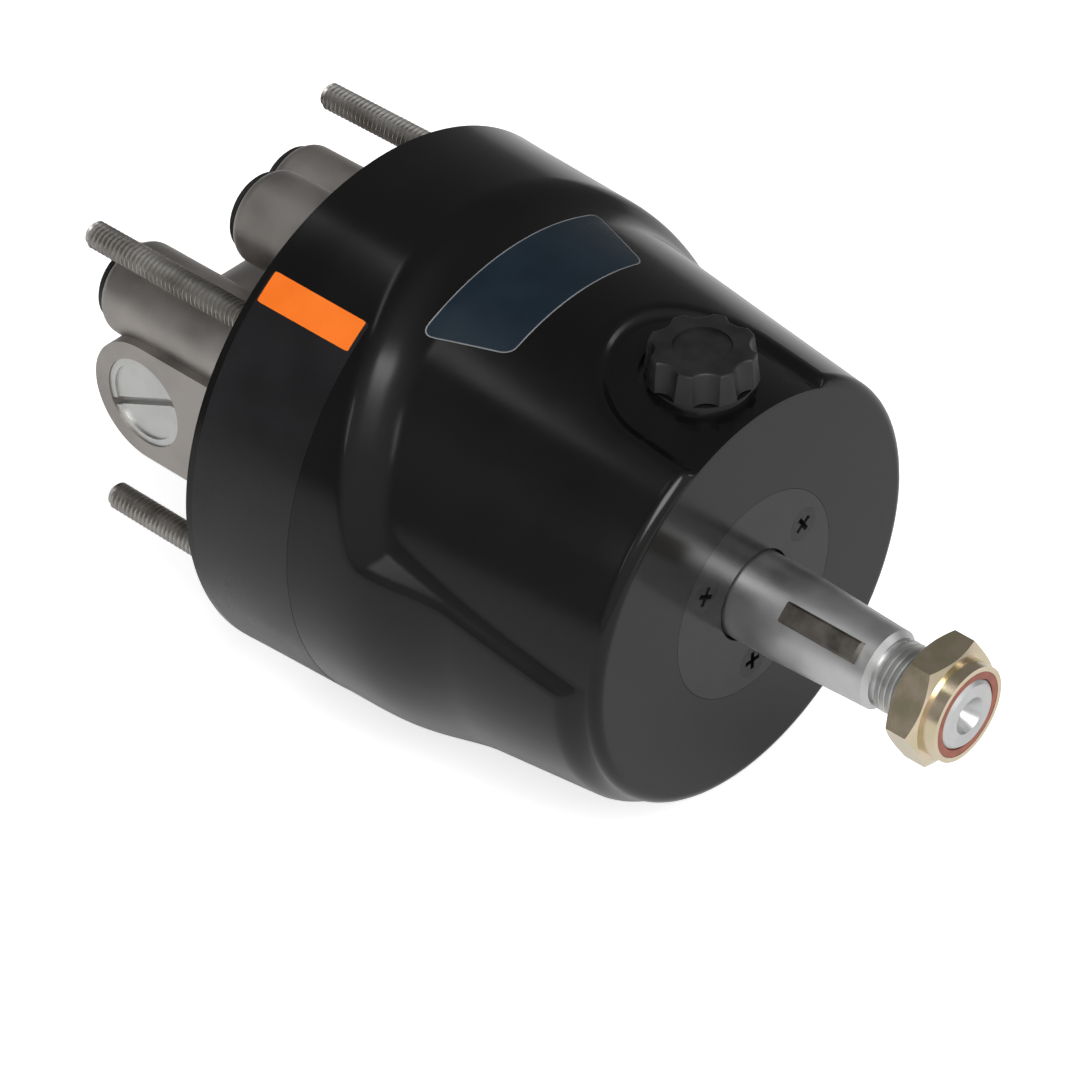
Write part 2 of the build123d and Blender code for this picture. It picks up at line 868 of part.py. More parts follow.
# Cylinder block: seven bores, a port hole behind each, and a slot for the drive pin
piston_angles = [-90 + 360 / piston_count * number for number in range(piston_count)]
with BuildPart() as cylinder_block:
    add(ring(block_front_y, block_rear_y, 0, block_r))
    fillet(cylinder_block.edges().filter_by(GeomType.CIRCLE).sort_by(Axis.Y)[0], block_edge_r)
    with BuildSketch(section(block_front_y)):
        with PolarLocations(piston_pitch_r, piston_count, start_angle=-90):
            Circle(piston_r + piston_bore_fit)
    extrude(amount=block_front_y - piston_floor_y, mode=Mode.SUBTRACT)
    with BuildSketch(section(piston_floor_y)):
        with PolarLocations(piston_pitch_r, piston_count, start_angle=-90):
            Circle(port_hole_r)
    extrude(amount=piston_floor_y - block_rear_y, mode=Mode.SUBTRACT)
    add(ring(block_front_y, tail_start_y, 0, middle_r + thread_fit), mode=Mode.SUBTRACT)
    add(ring(tail_start_y, block_rear_y, 0, tail_r + thread_fit), mode=Mode.SUBTRACT)
    with BuildSketch(section(block_front_y)):
        Rectangle(pin_length + 2 * thread_fit, 2 * (pin_r + thread_fit))
    extrude(amount=block_front_y - pin_y - pin_r - thread_fit, mode=Mode.SUBTRACT)
keep(cylinder_block, "cylinder_block")

with BuildPart() as drive_pin:
    with BuildSketch(Plane.YZ):
        with Locations((pin_y, 0)):
            Circle(pin_r)
    extrude(amount=pin_length / 2, both=True)
    chamfer(drive_pin.edges().filter_by(GeomType.CIRCLE), key_chamfer)
keep(drive_pin, "drive_pin")

# Pistons: crowned nose towards the inclined race, hollow behind for the spring
with BuildPart() as piston_form:
    with BuildSketch(Plane.XY):
        with BuildLine():
            crown_r = piston_r - piston_edge
            crown_y = piston_tip_y + piston_nose_r - sqrt(piston_nose_r**2 - crown_r**2)
            TangentArc((0, piston_tip_y), (crown_r, crown_y), tangent=(1, 0))
            Polyline(
                (crown_r, crown_y),
                (piston_r, crown_y + piston_edge),
                (piston_r, piston_rear_y),
                (piston_hollow_r, piston_rear_y),
                (piston_hollow_r, piston_rear_y - piston_hollow_depth),
                (0, piston_rear_y - piston_hollow_depth),
                (0, piston_tip_y),
            )
        make_face()
    revolve(axis=Axis.Y)

spring_length = piston_floor_y - spring_front_y
spring_form = coil(section(piston_floor_y), spring_length, spring_r, spring_wire, spring_turns)
for number, angle in enumerate(piston_angles, start=1):
    place = Vector(piston_pitch_r, 0, 0).rotate(Axis.Y, -angle)
    with BuildPart() as piston:
        with Locations(place):
            add(piston_form.part)
    keep(piston, f"piston_{number}")

with BuildPart() as piston_springs:
    for angle in piston_angles:
        with Locations(Vector(piston_pitch_r, 0, 0).rotate(Axis.Y, -angle)):
            add(spring_form)
keep(piston_springs, "piston_springs")

# Valve plate with its two kidney ports, and the dowels that hold it still
kidney_sweep = 2 * kidney_half_angle
kidneys = [
    CenterArc((0, 0), piston_pitch_r, middle - kidney_half_angle, kidney_sweep) for middle in (0, 180)
]
with BuildPart() as valve_plate:
    add(ring(valve_plate_front_y, spigot_front_y, tail_r + plate_fit, valve_plate_r))
    with BuildSketch(section(valve_plate_front_y)):
        for kidney in kidneys:
            SlotArc(kidney, 2 * port_hole_r)
        with PolarLocations(dowel_ring_r, 2, start_angle=90):
            Circle(dowel_r + thread_fit)
    extrude(amount=-valve_plate_thickness, mode=Mode.SUBTRACT)
keep(valve_plate, "valve_plate")

with BuildPart() as valve_plate_dowels:
    with BuildSketch(section(valve_plate_front_y + plate_fit)):
        with PolarLocations(dowel_ring_r, 2, start_angle=90):
            Circle(dowel_r)
    extrude(amount=-dowel_length)
keep(valve_plate_dowels, "valve_plate_dowels")

# Drilled ways through the rear body: pump feeds, lock valve galleries, hose and return ports
pocket_depth = dowel_length - valve_plate_thickness + plate_fit
chamber_x = (spool_half + seat_inner_x) / 2
chamber_y = lock_y - lock_bore_r
gallery_rise = port_z - lock_z
port_floor_y = port_boss_end_y - port_bore_depth
return_start = Vector(0, spigot_front_y, return_z)
return_end = Vector(0, top_port_end_y - port_bore_depth, top_port_z)
with BuildPart() as drillings:
    for side in (-1, 1):
        feed_start = Vector(side * feed_x, spigot_front_y, lock_z)
        feed = Vector(side * chamber_x, chamber_y, lock_z) - feed_start
        with BuildSketch(Plane(origin=feed_start - feed * drill_overrun, z_dir=feed)):
            Circle(passage_r)
        extrude(amount=feed.length * (1 + 2 * drill_overrun))
        with BuildSketch(Plane.XY.offset(lock_z)):
            with Locations((side * gallery_x, lock_y)):
                Circle(passage_r)
        extrude(amount=gallery_rise)
        with BuildSketch(section(port_boss_end_y)):
            with Locations((side * port_x, port_z)):
                Circle(port_bore_r)
        extrude(amount=port_bore_depth)
        with BuildSketch(section(port_floor_y)):
            with Locations((side * port_x, port_z)):
                Circle(passage_r)
        extrude(amount=port_floor_y - lock_y)
    with BuildSketch(section(top_port_end_y)):
        with Locations((0, top_port_z)):
            Circle(port_bore_r)
    extrude(amount=port_bore_depth)
    way = return_end - return_start
    with BuildSketch(Plane(origin=return_start - way * drill_overrun, z_dir=way)):
        Circle(return_r)
    extrude(amount=way.length * (1 + 2 * drill_overrun))

# Rear body: flange, spigot, port bosses and the lock valve boss across them
port_places = {
    "left_port_cap": (-port_x, port_boss_end_y, port_z),
    "right_port_cap": (port_x, port_boss_end_y, port_z),
    "top_port_cap": (0, top_port_end_y, top_port_z),
}
with BuildPart() as rear_body:
    for x, end_y, z in port_places.values():
        with BuildSketch(section(0)):
            with Locations((x, z)):
                Circle(port_boss_r)
        extrude(amount=-end_y)
        fillet(rear_body.faces(Select.LAST).sort_by(Axis.Y)[-1].edges(), port_edge_r)
    with BuildSketch(Plane.YZ):
        with Locations((lock_y, lock_z)):
            Circle(lock_boss_r)
        with Locations((lock_y / 2, lock_z)):
            Rectangle(lock_y, 2 * lock_boss_r)
    extrude(amount=lock_half_width, both=True)
    add(ring(-flange_thickness, 0, 0, flange_r))
    add(ring(spigot_front_y, -flange_thickness, 0, spigot_r))
    add(ring(0, base_length, 0, base_r))
    # Bores on the shaft axis, dowel holes, the cross bore with its plug seats, and the drillings
    add(ring(spigot_front_y, spigot_front_y + bush_length, 0, bush_r + thread_fit), mode=Mode.SUBTRACT)
    add(ring(spigot_front_y, tail_end_y + tail_room, 0, tail_r + tail_room), mode=Mode.SUBTRACT)
    with BuildSketch(section(spigot_front_y)):
        with PolarLocations(dowel_ring_r, 2, start_angle=90):
            Circle(dowel_r + thread_fit)
    extrude(amount=-pocket_depth, mode=Mode.SUBTRACT)
    with BuildSketch(Plane.YZ):
        with Locations((lock_y, lock_z)):
            Circle(lock_bore_r)
    extrude(amount=lock_half_width, both=True, mode=Mode.SUBTRACT)
    for side in (-1, 1):
        with BuildSketch(Plane.YZ.offset(side * lock_half_width)):
            with Locations((lock_y, lock_z)):
                Circle(lock_plug_r + thread_fit)
        extrude(amount=-side * (lock_plug_inset + lock_plug_length), mode=Mode.SUBTRACT)
    add(drillings.part, mode=Mode.SUBTRACT)
    # O-ring groove in the spigot, clearance for the studs, countersinks for the screws
    groove_y = spigot_front_y + spigot_length / 2
    groove_depth = 2 * body_ring_wire_r - register_clearance
    groove_half = body_ring_wire_r + plate_fit
    add(
        ring(groove_y - groove_half, groove_y + groove_half, spigot_r - groove_depth, flange_r),
        mode=Mode.SUBTRACT,
    )
    with BuildSketch(section(0)):
        with PolarLocations(stud_pcd / 2, stud_count, start_angle=stud_start_angle):
            Circle(stud_r + stud_clearance)
    extrude(amount=flange_thickness, mode=Mode.SUBTRACT)
    with Locations(rear_face):
        with PolarLocations(screw_ring_r, screw_count):
            CounterSinkHole(
                screw_r + thread_fit,
                screw_head_r + thread_fit,
                flange_thickness,
                counter_sink_angle=screw_sink_angle,
            )
keep(rear_body, "rear_body")

with BuildPart() as rear_body_o_ring:
    add(round_ring(groove_y, mouth_r - body_ring_wire_r, body_ring_wire_r - thread_fit))
keep(rear_body_o_ring, "rear_body_o_ring")

with BuildPart() as rear_bush:
    add(ring(spigot_front_y + plate_fit, spigot_front_y + bush_length, tail_r + running_gap, bush_r))
keep(rear_bush, "rear_bush")

with BuildPart() as socket_recess:
    with BuildSketch(Plane.XY):
        RegularPolygon(screw_socket_r, 6, major_radius=False)
    extrude(amount=-screw_r)
cover_screw = countersunk_screw(screw_r, screw_head_r, screw_length, socket_recess.part)
with BuildPart() as rear_body_screws:
    with Locations(rear_face):
        with PolarLocations(screw_ring_r, screw_count):
            add(cover_screw)
keep(rear_body_screws, "rear_body_screws")

# Dash studs: a screwed end in the housing, and a full rod that reaches back through the dash
with BuildPart() as dash_studs:
    with BuildSketch(section(-stud_engaged)):
        with PolarLocations(stud_pcd / 2, stud_count, start_angle=stud_start_angle):
            Circle(stud_end_r)
    extrude(amount=-stud_engaged)
    with BuildSketch(section(0)):
        with PolarLocations(stud_pcd / 2, stud_count, start_angle=stud_start_angle):
            Circle(stud_r)
    extrude(amount=-stud_reach)
    ends = dash_studs.edges().filter_by(GeomType.CIRCLE).group_by(Axis.Y)
    chamfer(ends[0] + ends[-1], stud_chamfer)
keep(dash_studs, "dash_studs")

# Push-in caps that close the three ports
with BuildPart() as port_cap_form:
    with BuildSketch(Plane.XY):
        Circle(port_cap_r)
    extrude(amount=port_cap_thickness)
    chamfer(port_cap_form.edges().sort_by(Axis.Z)[-1], key_chamfer)
    with BuildSketch(Plane.XY):
        Circle(port_bore_r - plate_fit)
    extrude(amount=-port_cap_stem)
for name, place in port_places.items():
    with BuildPart() as port_cap:
        with Locations(Plane(origin=place, x_dir=(1, 0, 0), z_dir=rear_face.z_dir)):
            add(port_cap_form.part)
    keep(port_cap, name)

# Lock valve: a spool in the middle, and a seat, poppet, spring and slotted plug on each side
plug_outer_x = lock_half_width - lock_plug_inset
plug_inner_x = plug_outer_x - lock_plug_length
seat_outer_x = seat_inner_x + seat_length
poppet_tip_x = seat_outer_x + poppet_tip_r - seat_bore_r + 3 * running_gap
poppet_shoulder_x = poppet_tip_x + poppet_r - poppet_tip_r
poppet_end_x = poppet_shoulder_x + poppet_length
pocket_floor_x = poppet_end_x - poppet_pocket
valve_spring_start_x = pocket_floor_x + valve_spring_gap
valve_spring_end_x = plug_inner_x + plug_pocket_depth
sides = {"left": -1, "right": 1}


def lock_profile(side):
    """Plane for turned lock valve pieces: local y runs along the bore, outward on that side."""
    return Plane(origin=(0, lock_y, lock_z), x_dir=(0, 1, 0), z_dir=(0, 0, -side))


with BuildPart() as lock_valve_spool:
    for side in sides.values():
        axis = lock_profile(side)
        add(ring(0, spool_half, 0, lock_bore_r - running_gap, axis))
        add(ring(spool_half, spool_pin_tip_x, 0, spool_pin_r, axis))
keep(lock_valve_spool, "lock_valve_spool")

with BuildPart() as lock_valve_seats:
    for side in sides.values():
        add(ring(seat_inner_x, seat_outer_x, seat_bore_r, lock_bore_r - thread_fit, lock_profile(side)))
keep(lock_valve_seats, "lock_valve_seats")

valve_spring_length = valve_spring_end_x - valve_spring_start_x
for name, side in sides.items():
    with BuildPart() as poppet:
        add(
            turned(
                [
                    (0, poppet_tip_x),
                    (poppet_tip_r, poppet_tip_x),
                    (poppet_r, poppet_shoulder_x),
                    (poppet_r, poppet_end_x),
                    (poppet_pocket_r, poppet_end_x),
                    (poppet_pocket_r, pocket_floor_x),
                    (0, pocket_floor_x),
                ],
                lock_profile(side),
            )
        )
    keep(poppet, f"lock_valve_poppet_{name}")

    groove_r = lock_plug_r - 2 * plug_ring_wire_r
    ring_front_x = plug_ring_x - plug_ring_wire_r
    ring_rear_x = plug_ring_x + plug_ring_wire_r
    face = Plane(origin=(side * plug_outer_x, lock_y, lock_z), x_dir=(0, 1, 0), z_dir=(side, 0, 0))
    with BuildPart() as plug:
        add(
            turned(
                [
                    (0, plug_inner_x + plug_pocket_depth),
                    (poppet_pocket_r, plug_inner_x + plug_pocket_depth),
                    (poppet_pocket_r, plug_inner_x),
                    (lock_plug_r, plug_inner_x),
                    (lock_plug_r, ring_front_x),
                    (groove_r, ring_front_x),
                    (groove_r, ring_rear_x),
                    (lock_plug_r, ring_rear_x),
                    (lock_plug_r, plug_outer_x),
                    (lock_plug_r - plug_lip, plug_outer_x),
                    (lock_plug_r - plug_lip, plug_outer_x - plug_lip_depth),
                    (0, plug_outer_x - plug_lip_depth),
                ],
                lock_profile(side),
            )
        )
        with BuildSketch(face):
            Rectangle(2 * lock_plug_r, slot_width, rotation=-side * slot_tilt)
        extrude(amount=-slot_depth, mode=Mode.SUBTRACT)
    keep(plug, f"lock_valve_plug_{name}")

with BuildPart() as lock_valve_plug_o_rings:
    for side in sides.values():
        wire_r = plug_ring_wire_r - thread_fit
        add(round_ring(plug_ring_x, lock_plug_r - plug_ring_wire_r, wire_r, lock_profile(side)))
keep(lock_valve_plug_o_rings, "lock_valve_plug_o_rings")

with BuildPart() as lock_valve_springs:
    for side in sides.values():
        seat = Plane(origin=(side * valve_spring_end_x, lock_y, lock_z), z_dir=(-side, 0, 0))
        add(coil(seat, valve_spring_length, valve_spring_r, valve_spring_wire, spring_turns))
keep(lock_valve_springs, "lock_valve_springs")

# Filler cap: fluted knob with a shallow dish, on a stem that screws into the neck
cap_height = cap_top_z - cap_bottom_z
cap_draft = degrees(atan2(cap_base_r - cap_top_r, cap_height))
cap_plane = Plane(origin=(0, filler_y, cap_bottom_z))
with BuildPart() as filler_cap:
    with BuildSketch(cap_plane):
        Circle(cap_base_r)
        with PolarLocations(cap_base_r + cap_flute_r - cap_flute_depth, cap_lobes, start_angle=cap_turn):
            Circle(cap_flute_r, mode=Mode.SUBTRACT)
    extrude(amount=cap_height, taper=cap_draft)
    fillet(filler_cap.faces().sort_by(Axis.Z)[-1].edges(), cap_edge_r)
    with BuildSketch(cap_plane.offset(cap_height)):
        Circle(cap_recess_r)
    extrude(amount=-cap_recess_depth, mode=Mode.SUBTRACT)
    with BuildSketch(cap_plane):
        Circle(cap_stem_r)
    extrude(amount=-cap_stem_length)
keep(filler_cap, "filler_cap")

with BuildPart() as filler_cap_o_ring:
    ring_z = cap_bottom_z - cap_ring_wire_r
    cap_profile = Plane(origin=(0, filler_y, ring_z), z_dir=(0, -1, 0), x_dir=(1, 0, 0))
    add(round_ring(0, neck_seat_r - cap_ring_wire_r, cap_ring_wire_r - thread_fit, cap_profile))
keep(filler_cap_o_ring, "filler_cap_o_ring")
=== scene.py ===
"""Hydraulic helm pump, dressed: finishes, smooth casting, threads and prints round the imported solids."""

import logging
import math
from dataclasses import dataclass
from enum import Enum

import bmesh
import bpy
import numpy as np
from mathutils import Matrix, Vector


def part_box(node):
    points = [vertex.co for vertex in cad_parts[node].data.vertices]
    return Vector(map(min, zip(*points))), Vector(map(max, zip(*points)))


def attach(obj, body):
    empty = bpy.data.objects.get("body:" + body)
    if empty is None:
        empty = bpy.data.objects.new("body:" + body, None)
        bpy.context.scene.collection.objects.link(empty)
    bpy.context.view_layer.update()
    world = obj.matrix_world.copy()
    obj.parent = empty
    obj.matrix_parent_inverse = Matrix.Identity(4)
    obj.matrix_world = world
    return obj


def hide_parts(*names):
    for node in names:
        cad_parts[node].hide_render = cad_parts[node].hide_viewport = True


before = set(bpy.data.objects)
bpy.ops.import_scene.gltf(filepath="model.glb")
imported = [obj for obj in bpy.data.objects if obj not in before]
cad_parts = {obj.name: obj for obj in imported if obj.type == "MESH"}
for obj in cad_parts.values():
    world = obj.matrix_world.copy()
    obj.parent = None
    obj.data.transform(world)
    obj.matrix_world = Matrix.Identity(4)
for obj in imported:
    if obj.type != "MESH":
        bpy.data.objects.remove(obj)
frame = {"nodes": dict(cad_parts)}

MM = 0.001
# Points nearer than WELD are merged and edges shorter than SLIVER go, both in millimetres.
WELD = 0.004
SLIVER = 0.001
# Keeps a comparison or a division safe from rounding.
TINY = 1e-6
log = logging.getLogger("helm_pump")


class Pattern(Enum):
    """How a surface was made, which decides its fine relief."""

    PAINTED = "painted"
    CAST = "cast"
    TURNED = "turned"
    MOULDED = "moulded"


class Body(str, Enum):
    """The moving groups that the dressed pieces ride with."""

    PUMP = "pump_body"
    ROTOR = "rotor"


@dataclass(frozen=True)
class Finish:
    """A surface finish: colours, gloss and fine relief.

    Args:
        name: the material's name.
        slot: the record's material slot that it stands for; not used.
        colour: main colour, linear red, green, blue.
        tint: second colour, which the cloudy variation moves towards.
        metallic: 1 for bare metal, 0 for paint, plastic and rubber.
        gloss: lowest and highest roughness.
        pattern: how the surface was made.
        grain: size of the fine relief, in millimetres.
        depth: height of the fine relief, in millimetres.
        cloud: size of the broad variation, in millimetres.
        mirror: how strongly a surface that is no metal mirrors, 0.5 for common paint.
    """

    name: str
    slot: str
    colour: tuple[float, float, float]
    tint: tuple[float, float, float]
    metallic: float
    gloss: tuple[float, float]
    pattern: Pattern
    grain: float
    depth: float
    cloud: float = 18.0
    mirror: float = 0.5


HOUSING_PAINT = Finish(
    "housing_paint", "housing_paint", (0.003, 0.0028, 0.0028), (0.0045, 0.0042, 0.0041), 0.0, (0.14, 0.2),
    Pattern.PAINTED, 1.1, 0.004, 26.0, 0.26,
)
CASTING = Finish(
    "bare_casting", "rear_casting", (0.3, 0.28, 0.265), (0.4, 0.375, 0.355), 1.0, (0.4, 0.54),
    Pattern.CAST, 0.3, 0.03, 14.0,
)
PLATE_BLACK = Finish(
    "seal_plate_paint", "plate_paint", (0.006, 0.0055, 0.0055), (0.011, 0.0105, 0.01), 0.0, (0.12, 0.2),
    Pattern.PAINTED, 2.6, 0.02, 8.0, 0.34,
)
SCREW_BLACK = Finish(
    "screw_black", "screw_black", (0.012, 0.012, 0.013), (0.03, 0.03, 0.032), 0.6, (0.3, 0.45),
    Pattern.TURNED, 0.16, 0.006, 3.0,
)
SCREW_STEEL = Finish(
    "screw_steel", "screw_steel", (0.5, 0.5, 0.5), (0.62, 0.62, 0.61), 1.0, (0.25, 0.4),
    Pattern.TURNED, 0.2, 0.008, 4.0,
)
PLATE_STEEL = Finish(
    "ground_plate", "plate_steel", (0.56, 0.56, 0.55), (0.64, 0.64, 0.63), 1.0, (0.18, 0.3),
    Pattern.TURNED, 0.25, 0.006, 9.0,
)
SHAFT_STEEL = Finish(
    "turned_shaft", "shaft_steel", (0.5, 0.505, 0.505), (0.58, 0.585, 0.58), 1.0, (0.34, 0.42),
    Pattern.TURNED, 0.3, 0.003, 9.0,
)
KEY_STEEL = Finish(
    "drawn_key", "key_steel", (0.09, 0.08, 0.07), (0.18, 0.165, 0.15), 1.0, (0.42, 0.56),
    Pattern.CAST, 0.32, 0.02, 5.0,
)
STUD_STEEL = Finish(
    "stud_steel", "stud_steel", (0.33, 0.315, 0.295), (0.43, 0.415, 0.395), 1.0, (0.26, 0.36),
    Pattern.TURNED, 0.5, 0.002, 7.0,
)
BRIGHT_STEEL = Finish(
    "bright_plug", "plug_steel", (0.5, 0.5, 0.49), (0.58, 0.58, 0.565), 1.0, (0.36, 0.46),
    Pattern.CAST, 0.5, 0.006, 6.0,
)
BALL_STEEL = Finish(
    "ball_steel", "bearing_steel", (0.66, 0.66, 0.67), (0.74, 0.74, 0.75), 1.0, (0.06, 0.14),
    Pattern.TURNED, 0.3, 0.002, 6.0,
)
SPRING_STEEL = Finish(
    "spring_steel", "spring_steel", (0.27, 0.27, 0.28), (0.37, 0.37, 0.38), 1.0, (0.3, 0.45),
    Pattern.CAST, 0.4, 0.006, 5.0,
)
BLOCK_IRON = Finish(
    "block_iron", "block_iron", (0.2, 0.2, 0.21), (0.28, 0.28, 0.29), 1.0, (0.36, 0.52),
    Pattern.TURNED, 0.35, 0.012, 12.0,
)
CAGE_BRASS = Finish(
    "cage_brass", "cage_brass", (0.64, 0.43, 0.17), (0.74, 0.54, 0.25), 1.0, (0.25, 0.4),
    Pattern.TURNED, 0.25, 0.008, 7.0,
)
NUT_ZINC = Finish(
    "yellow_zinc", "nut_zinc", (0.58, 0.52, 0.34), (0.68, 0.57, 0.43), 1.0, (0.17, 0.27),
    Pattern.CAST, 0.9, 0.008, 5.0,
)
NUT_NYLON = Finish(
    "nut_nylon", "nut_nylon", (0.2, 0.035, 0.012), (0.3, 0.07, 0.03), 0.0, (0.28, 0.4),
    Pattern.MOULDED, 0.4, 0.01, 3.0,
)
RUBBER = Finish(
    "seal_rubber", "rubber", (0.011, 0.011, 0.011), (0.02, 0.02, 0.02), 0.0, (0.5, 0.65),
    Pattern.MOULDED, 0.25, 0.008, 4.0,
)
CAP_PLASTIC = Finish(
    "knob_plastic", "cap_plastic", (0.006, 0.006, 0.0065), (0.013, 0.013, 0.014), 0.0, (0.4, 0.52),
    Pattern.MOULDED, 0.22, 0.014, 5.0, 0.4,
)
PLATE_NAVY = Finish(
    "name_plate_navy", "housing_paint", (0.0045, 0.011, 0.019), (0.006, 0.0145, 0.024), 0.0, (0.26, 0.34),
    Pattern.MOULDED, 0.5, 0.002, 12.0, 0.3,
)
PLATE_RIM = Finish(
    "name_plate_rim", "housing_paint", (0.2, 0.21, 0.22), (0.26, 0.27, 0.28), 0.3, (0.34, 0.42),
    Pattern.MOULDED, 0.5, 0.002, 6.0,
)
DECAL_DARK = Finish(
    "side_decal_film", "housing_paint", (0.0075, 0.0068, 0.0078), (0.011, 0.0098, 0.0112), 0.0, (0.26, 0.34),
    Pattern.MOULDED, 0.5, 0.002, 14.0, 0.3,
)
DECAL_ORANGE = Finish(
    "side_decal_field", "housing_paint", (0.84, 0.165, 0.014), (0.89, 0.185, 0.018), 0.0, (0.3, 0.4),
    Pattern.MOULDED, 0.5, 0.002, 9.0, 0.25,
)

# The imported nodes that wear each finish.
NODE_FINISHES: dict[Finish, tuple[str, ...]] = {
    CASTING: ("rear_body",),
    PLATE_BLACK: ("seal_plate",),
    SCREW_BLACK: ("seal_plate_screws",),
    RUBBER: (
        "seal_plate_o_ring", "shaft_seal", "rear_body_o_ring", "lock_valve_plug_o_rings", "filler_cap_o_ring",
    ),
    BALL_STEEL: (
        "front_bearing_outer_race", "front_bearing_inner_race", "front_bearing_balls", "drive_pin",
        "swash_fixed_race", "swash_turning_race", "swash_balls", "valve_plate_dowels",
    ),
    CAGE_BRASS: ("front_bearing_cage", "swash_ball_cage", "rear_bush"),
    SPRING_STEEL: ("bearing_retaining_ring", "piston_springs", "lock_valve_springs"),
    KEY_STEEL: ("shaft_key",),
    NUT_ZINC: ("shaft_nut",),
    NUT_NYLON: ("nut_lock_ring",),
    BLOCK_IRON: ("cylinder_block",),
    PLATE_STEEL: (
        "valve_plate", "lock_valve_seats", "lock_valve_spool", "lock_valve_poppet_left",
        "lock_valve_poppet_right",
    ),
    SCREW_STEEL: ("rear_body_screws",),
    CAP_PLASTIC: ("left_port_cap", "right_port_cap", "top_port_cap", "filler_cap"),
    BRIGHT_STEEL: ("lock_valve_plug_left", "lock_valve_plug_right"),
    SHAFT_STEEL: tuple(f"piston_{number}" for number in range(1, 8)),
}

# How far the fine relief sways colour and gloss, beside the broad clouds.
RELIEF_SHARE: dict[Pattern, float] = {
    Pattern.PAINTED: 0.1,
    Pattern.CAST: 0.4,
    Pattern.TURNED: 0.4,
    Pattern.MOULDED: 0.1,
}


def socket(group: bpy.types.NodeTree, name: str, kind: str, way: str, value: float | None = None) -> None:
    """Add one named socket to a node group.

    Args:
        group: the group's node tree.
        name: the socket's name.
        kind: the socket type.
        way: INPUT or OUTPUT.
        value: default of a number input.
    """
    made = group.interface.new_socket(name=name, in_out=way, socket_type=kind)
    if value is not None:
        made.default_value = value


def math_node(nodes: bpy.types.Nodes, operation: str, index: int = 0, value: float = 0.0) -> bpy.types.Node:
    """Add a Math node.

    Args:
        nodes: the tree's nodes.
        operation: what it works out.
        index: the input that gets a fixed value.
        value: that value.

    Returns:
        The new node.
    """
    made = nodes.new("ShaderNodeMath")
    made.operation = operation
    made.inputs[index].default_value = value
    return made


class Effects:
    """The shader effects that the finishes share, each built once as a node group."""

    cloud_detail: float = 3.0
    cloud_range: tuple[float, float] = (0.35, 0.65)
    relief_detail: float = 2.0

    def __init__(self) -> None:
        """Build the three groups."""
        self.clouds = self._clouds()
        self.grain = self._relief("Fine Grain", rings=False)
        self.rings = self._relief("Turning Rings", rings=True)

    def _clouds(self) -> bpy.types.NodeTree:
        """Broad cloudy variation: a mask that drifts over the size given.

        Returns:
            The node group, with input Vector and Size and output Mask.
        """
        group = bpy.data.node_groups.new("Broad Clouds", "ShaderNodeTree")
        socket(group, "Vector", "NodeSocketVector", "INPUT")
        socket(group, "Size", "NodeSocketFloat", "INPUT", 18.0)
        socket(group, "Mask", "NodeSocketFloat", "OUTPUT")
        nodes, links = group.nodes, group.links
        start, end = nodes.new("NodeGroupInput"), nodes.new("NodeGroupOutput")
        scale = math_node(nodes, "DIVIDE", 0, 1 / MM)
        noise = nodes.new("ShaderNodeTexNoise")
        noise.inputs["Detail"].default_value = self.cloud_detail
        spread = nodes.new("ShaderNodeMapRange")
        spread.inputs["From Min"].default_value, spread.inputs["From Max"].default_value = self.cloud_range
        links.new(start.outputs["Size"], scale.inputs[1])
        links.new(start.outputs["Vector"], noise.inputs["Vector"])
        links.new(scale.outputs[0], noise.inputs["Scale"])
        links.new(noise.outputs["Fac"], spread.inputs["Value"])
        links.new(spread.outputs["Result"], end.inputs["Mask"])
        return group

    def _relief(self, name: str, rings: bool) -> bpy.types.NodeTree:
        """Fine relief: noise of the point itself, or of its distance from the shaft axis and its Y.

        The second form is the same all round the axis, so it shows as turning marks.

        Args:
            name: the group's name.
            rings: True for turning marks.

        Returns:
            The node group, with inputs Vector, Size and Depth and outputs Mask and Normal.
        """
        group = bpy.data.node_groups.new(name, "ShaderNodeTree")
        socket(group, "Vector", "NodeSocketVector", "INPUT")
        socket(group, "Size", "NodeSocketFloat", "INPUT", 0.3)
        socket(group, "Depth", "NodeSocketFloat", "INPUT", 0.01)
        socket(group, "Mask", "NodeSocketFloat", "OUTPUT")
        socket(group, "Normal", "NodeSocketVector", "OUTPUT")
        nodes, links = group.nodes, group.links
        start, end = nodes.new("NodeGroupInput"), nodes.new("NodeGroupOutput")
        scale = math_node(nodes, "DIVIDE", 0, 1 / MM)
        depth = math_node(nodes, "MULTIPLY", 1, MM)
        noise = nodes.new("ShaderNodeTexNoise")
        noise.inputs["Detail"].default_value = self.relief_detail
        bump = nodes.new("ShaderNodeBump")
        bump.inputs["Strength"].default_value = 1.0
        place = start.outputs["Vector"]
        if rings:
            split = nodes.new("ShaderNodeSeparateXYZ")
            flat = nodes.new("ShaderNodeCombineXYZ")
            length = nodes.new("ShaderNodeVectorMath")
            length.operation = "LENGTH"
            join = nodes.new("ShaderNodeCombineXYZ")
            links.new(place, split.inputs[0])
            links.new(split.outputs["X"], flat.inputs["X"])
            links.new(split.outputs["Z"], flat.inputs["Z"])
            links.new(flat.outputs[0], length.inputs[0])
            links.new(length.outputs["Value"], join.inputs["X"])
            links.new(split.outputs["Y"], join.inputs["Y"])
            place = join.outputs[0]
        links.new(place, noise.inputs["Vector"])
        links.new(start.outputs["Size"], scale.inputs[1])
        links.new(scale.outputs[0], noise.inputs["Scale"])
        links.new(start.outputs["Depth"], depth.inputs[0])
        links.new(depth.outputs[0], bump.inputs["Distance"])
        links.new(noise.outputs["Fac"], bump.inputs["Height"])
        links.new(noise.outputs["Fac"], end.inputs["Mask"])
        links.new(bump.outputs["Normal"], end.inputs["Normal"])
        return group


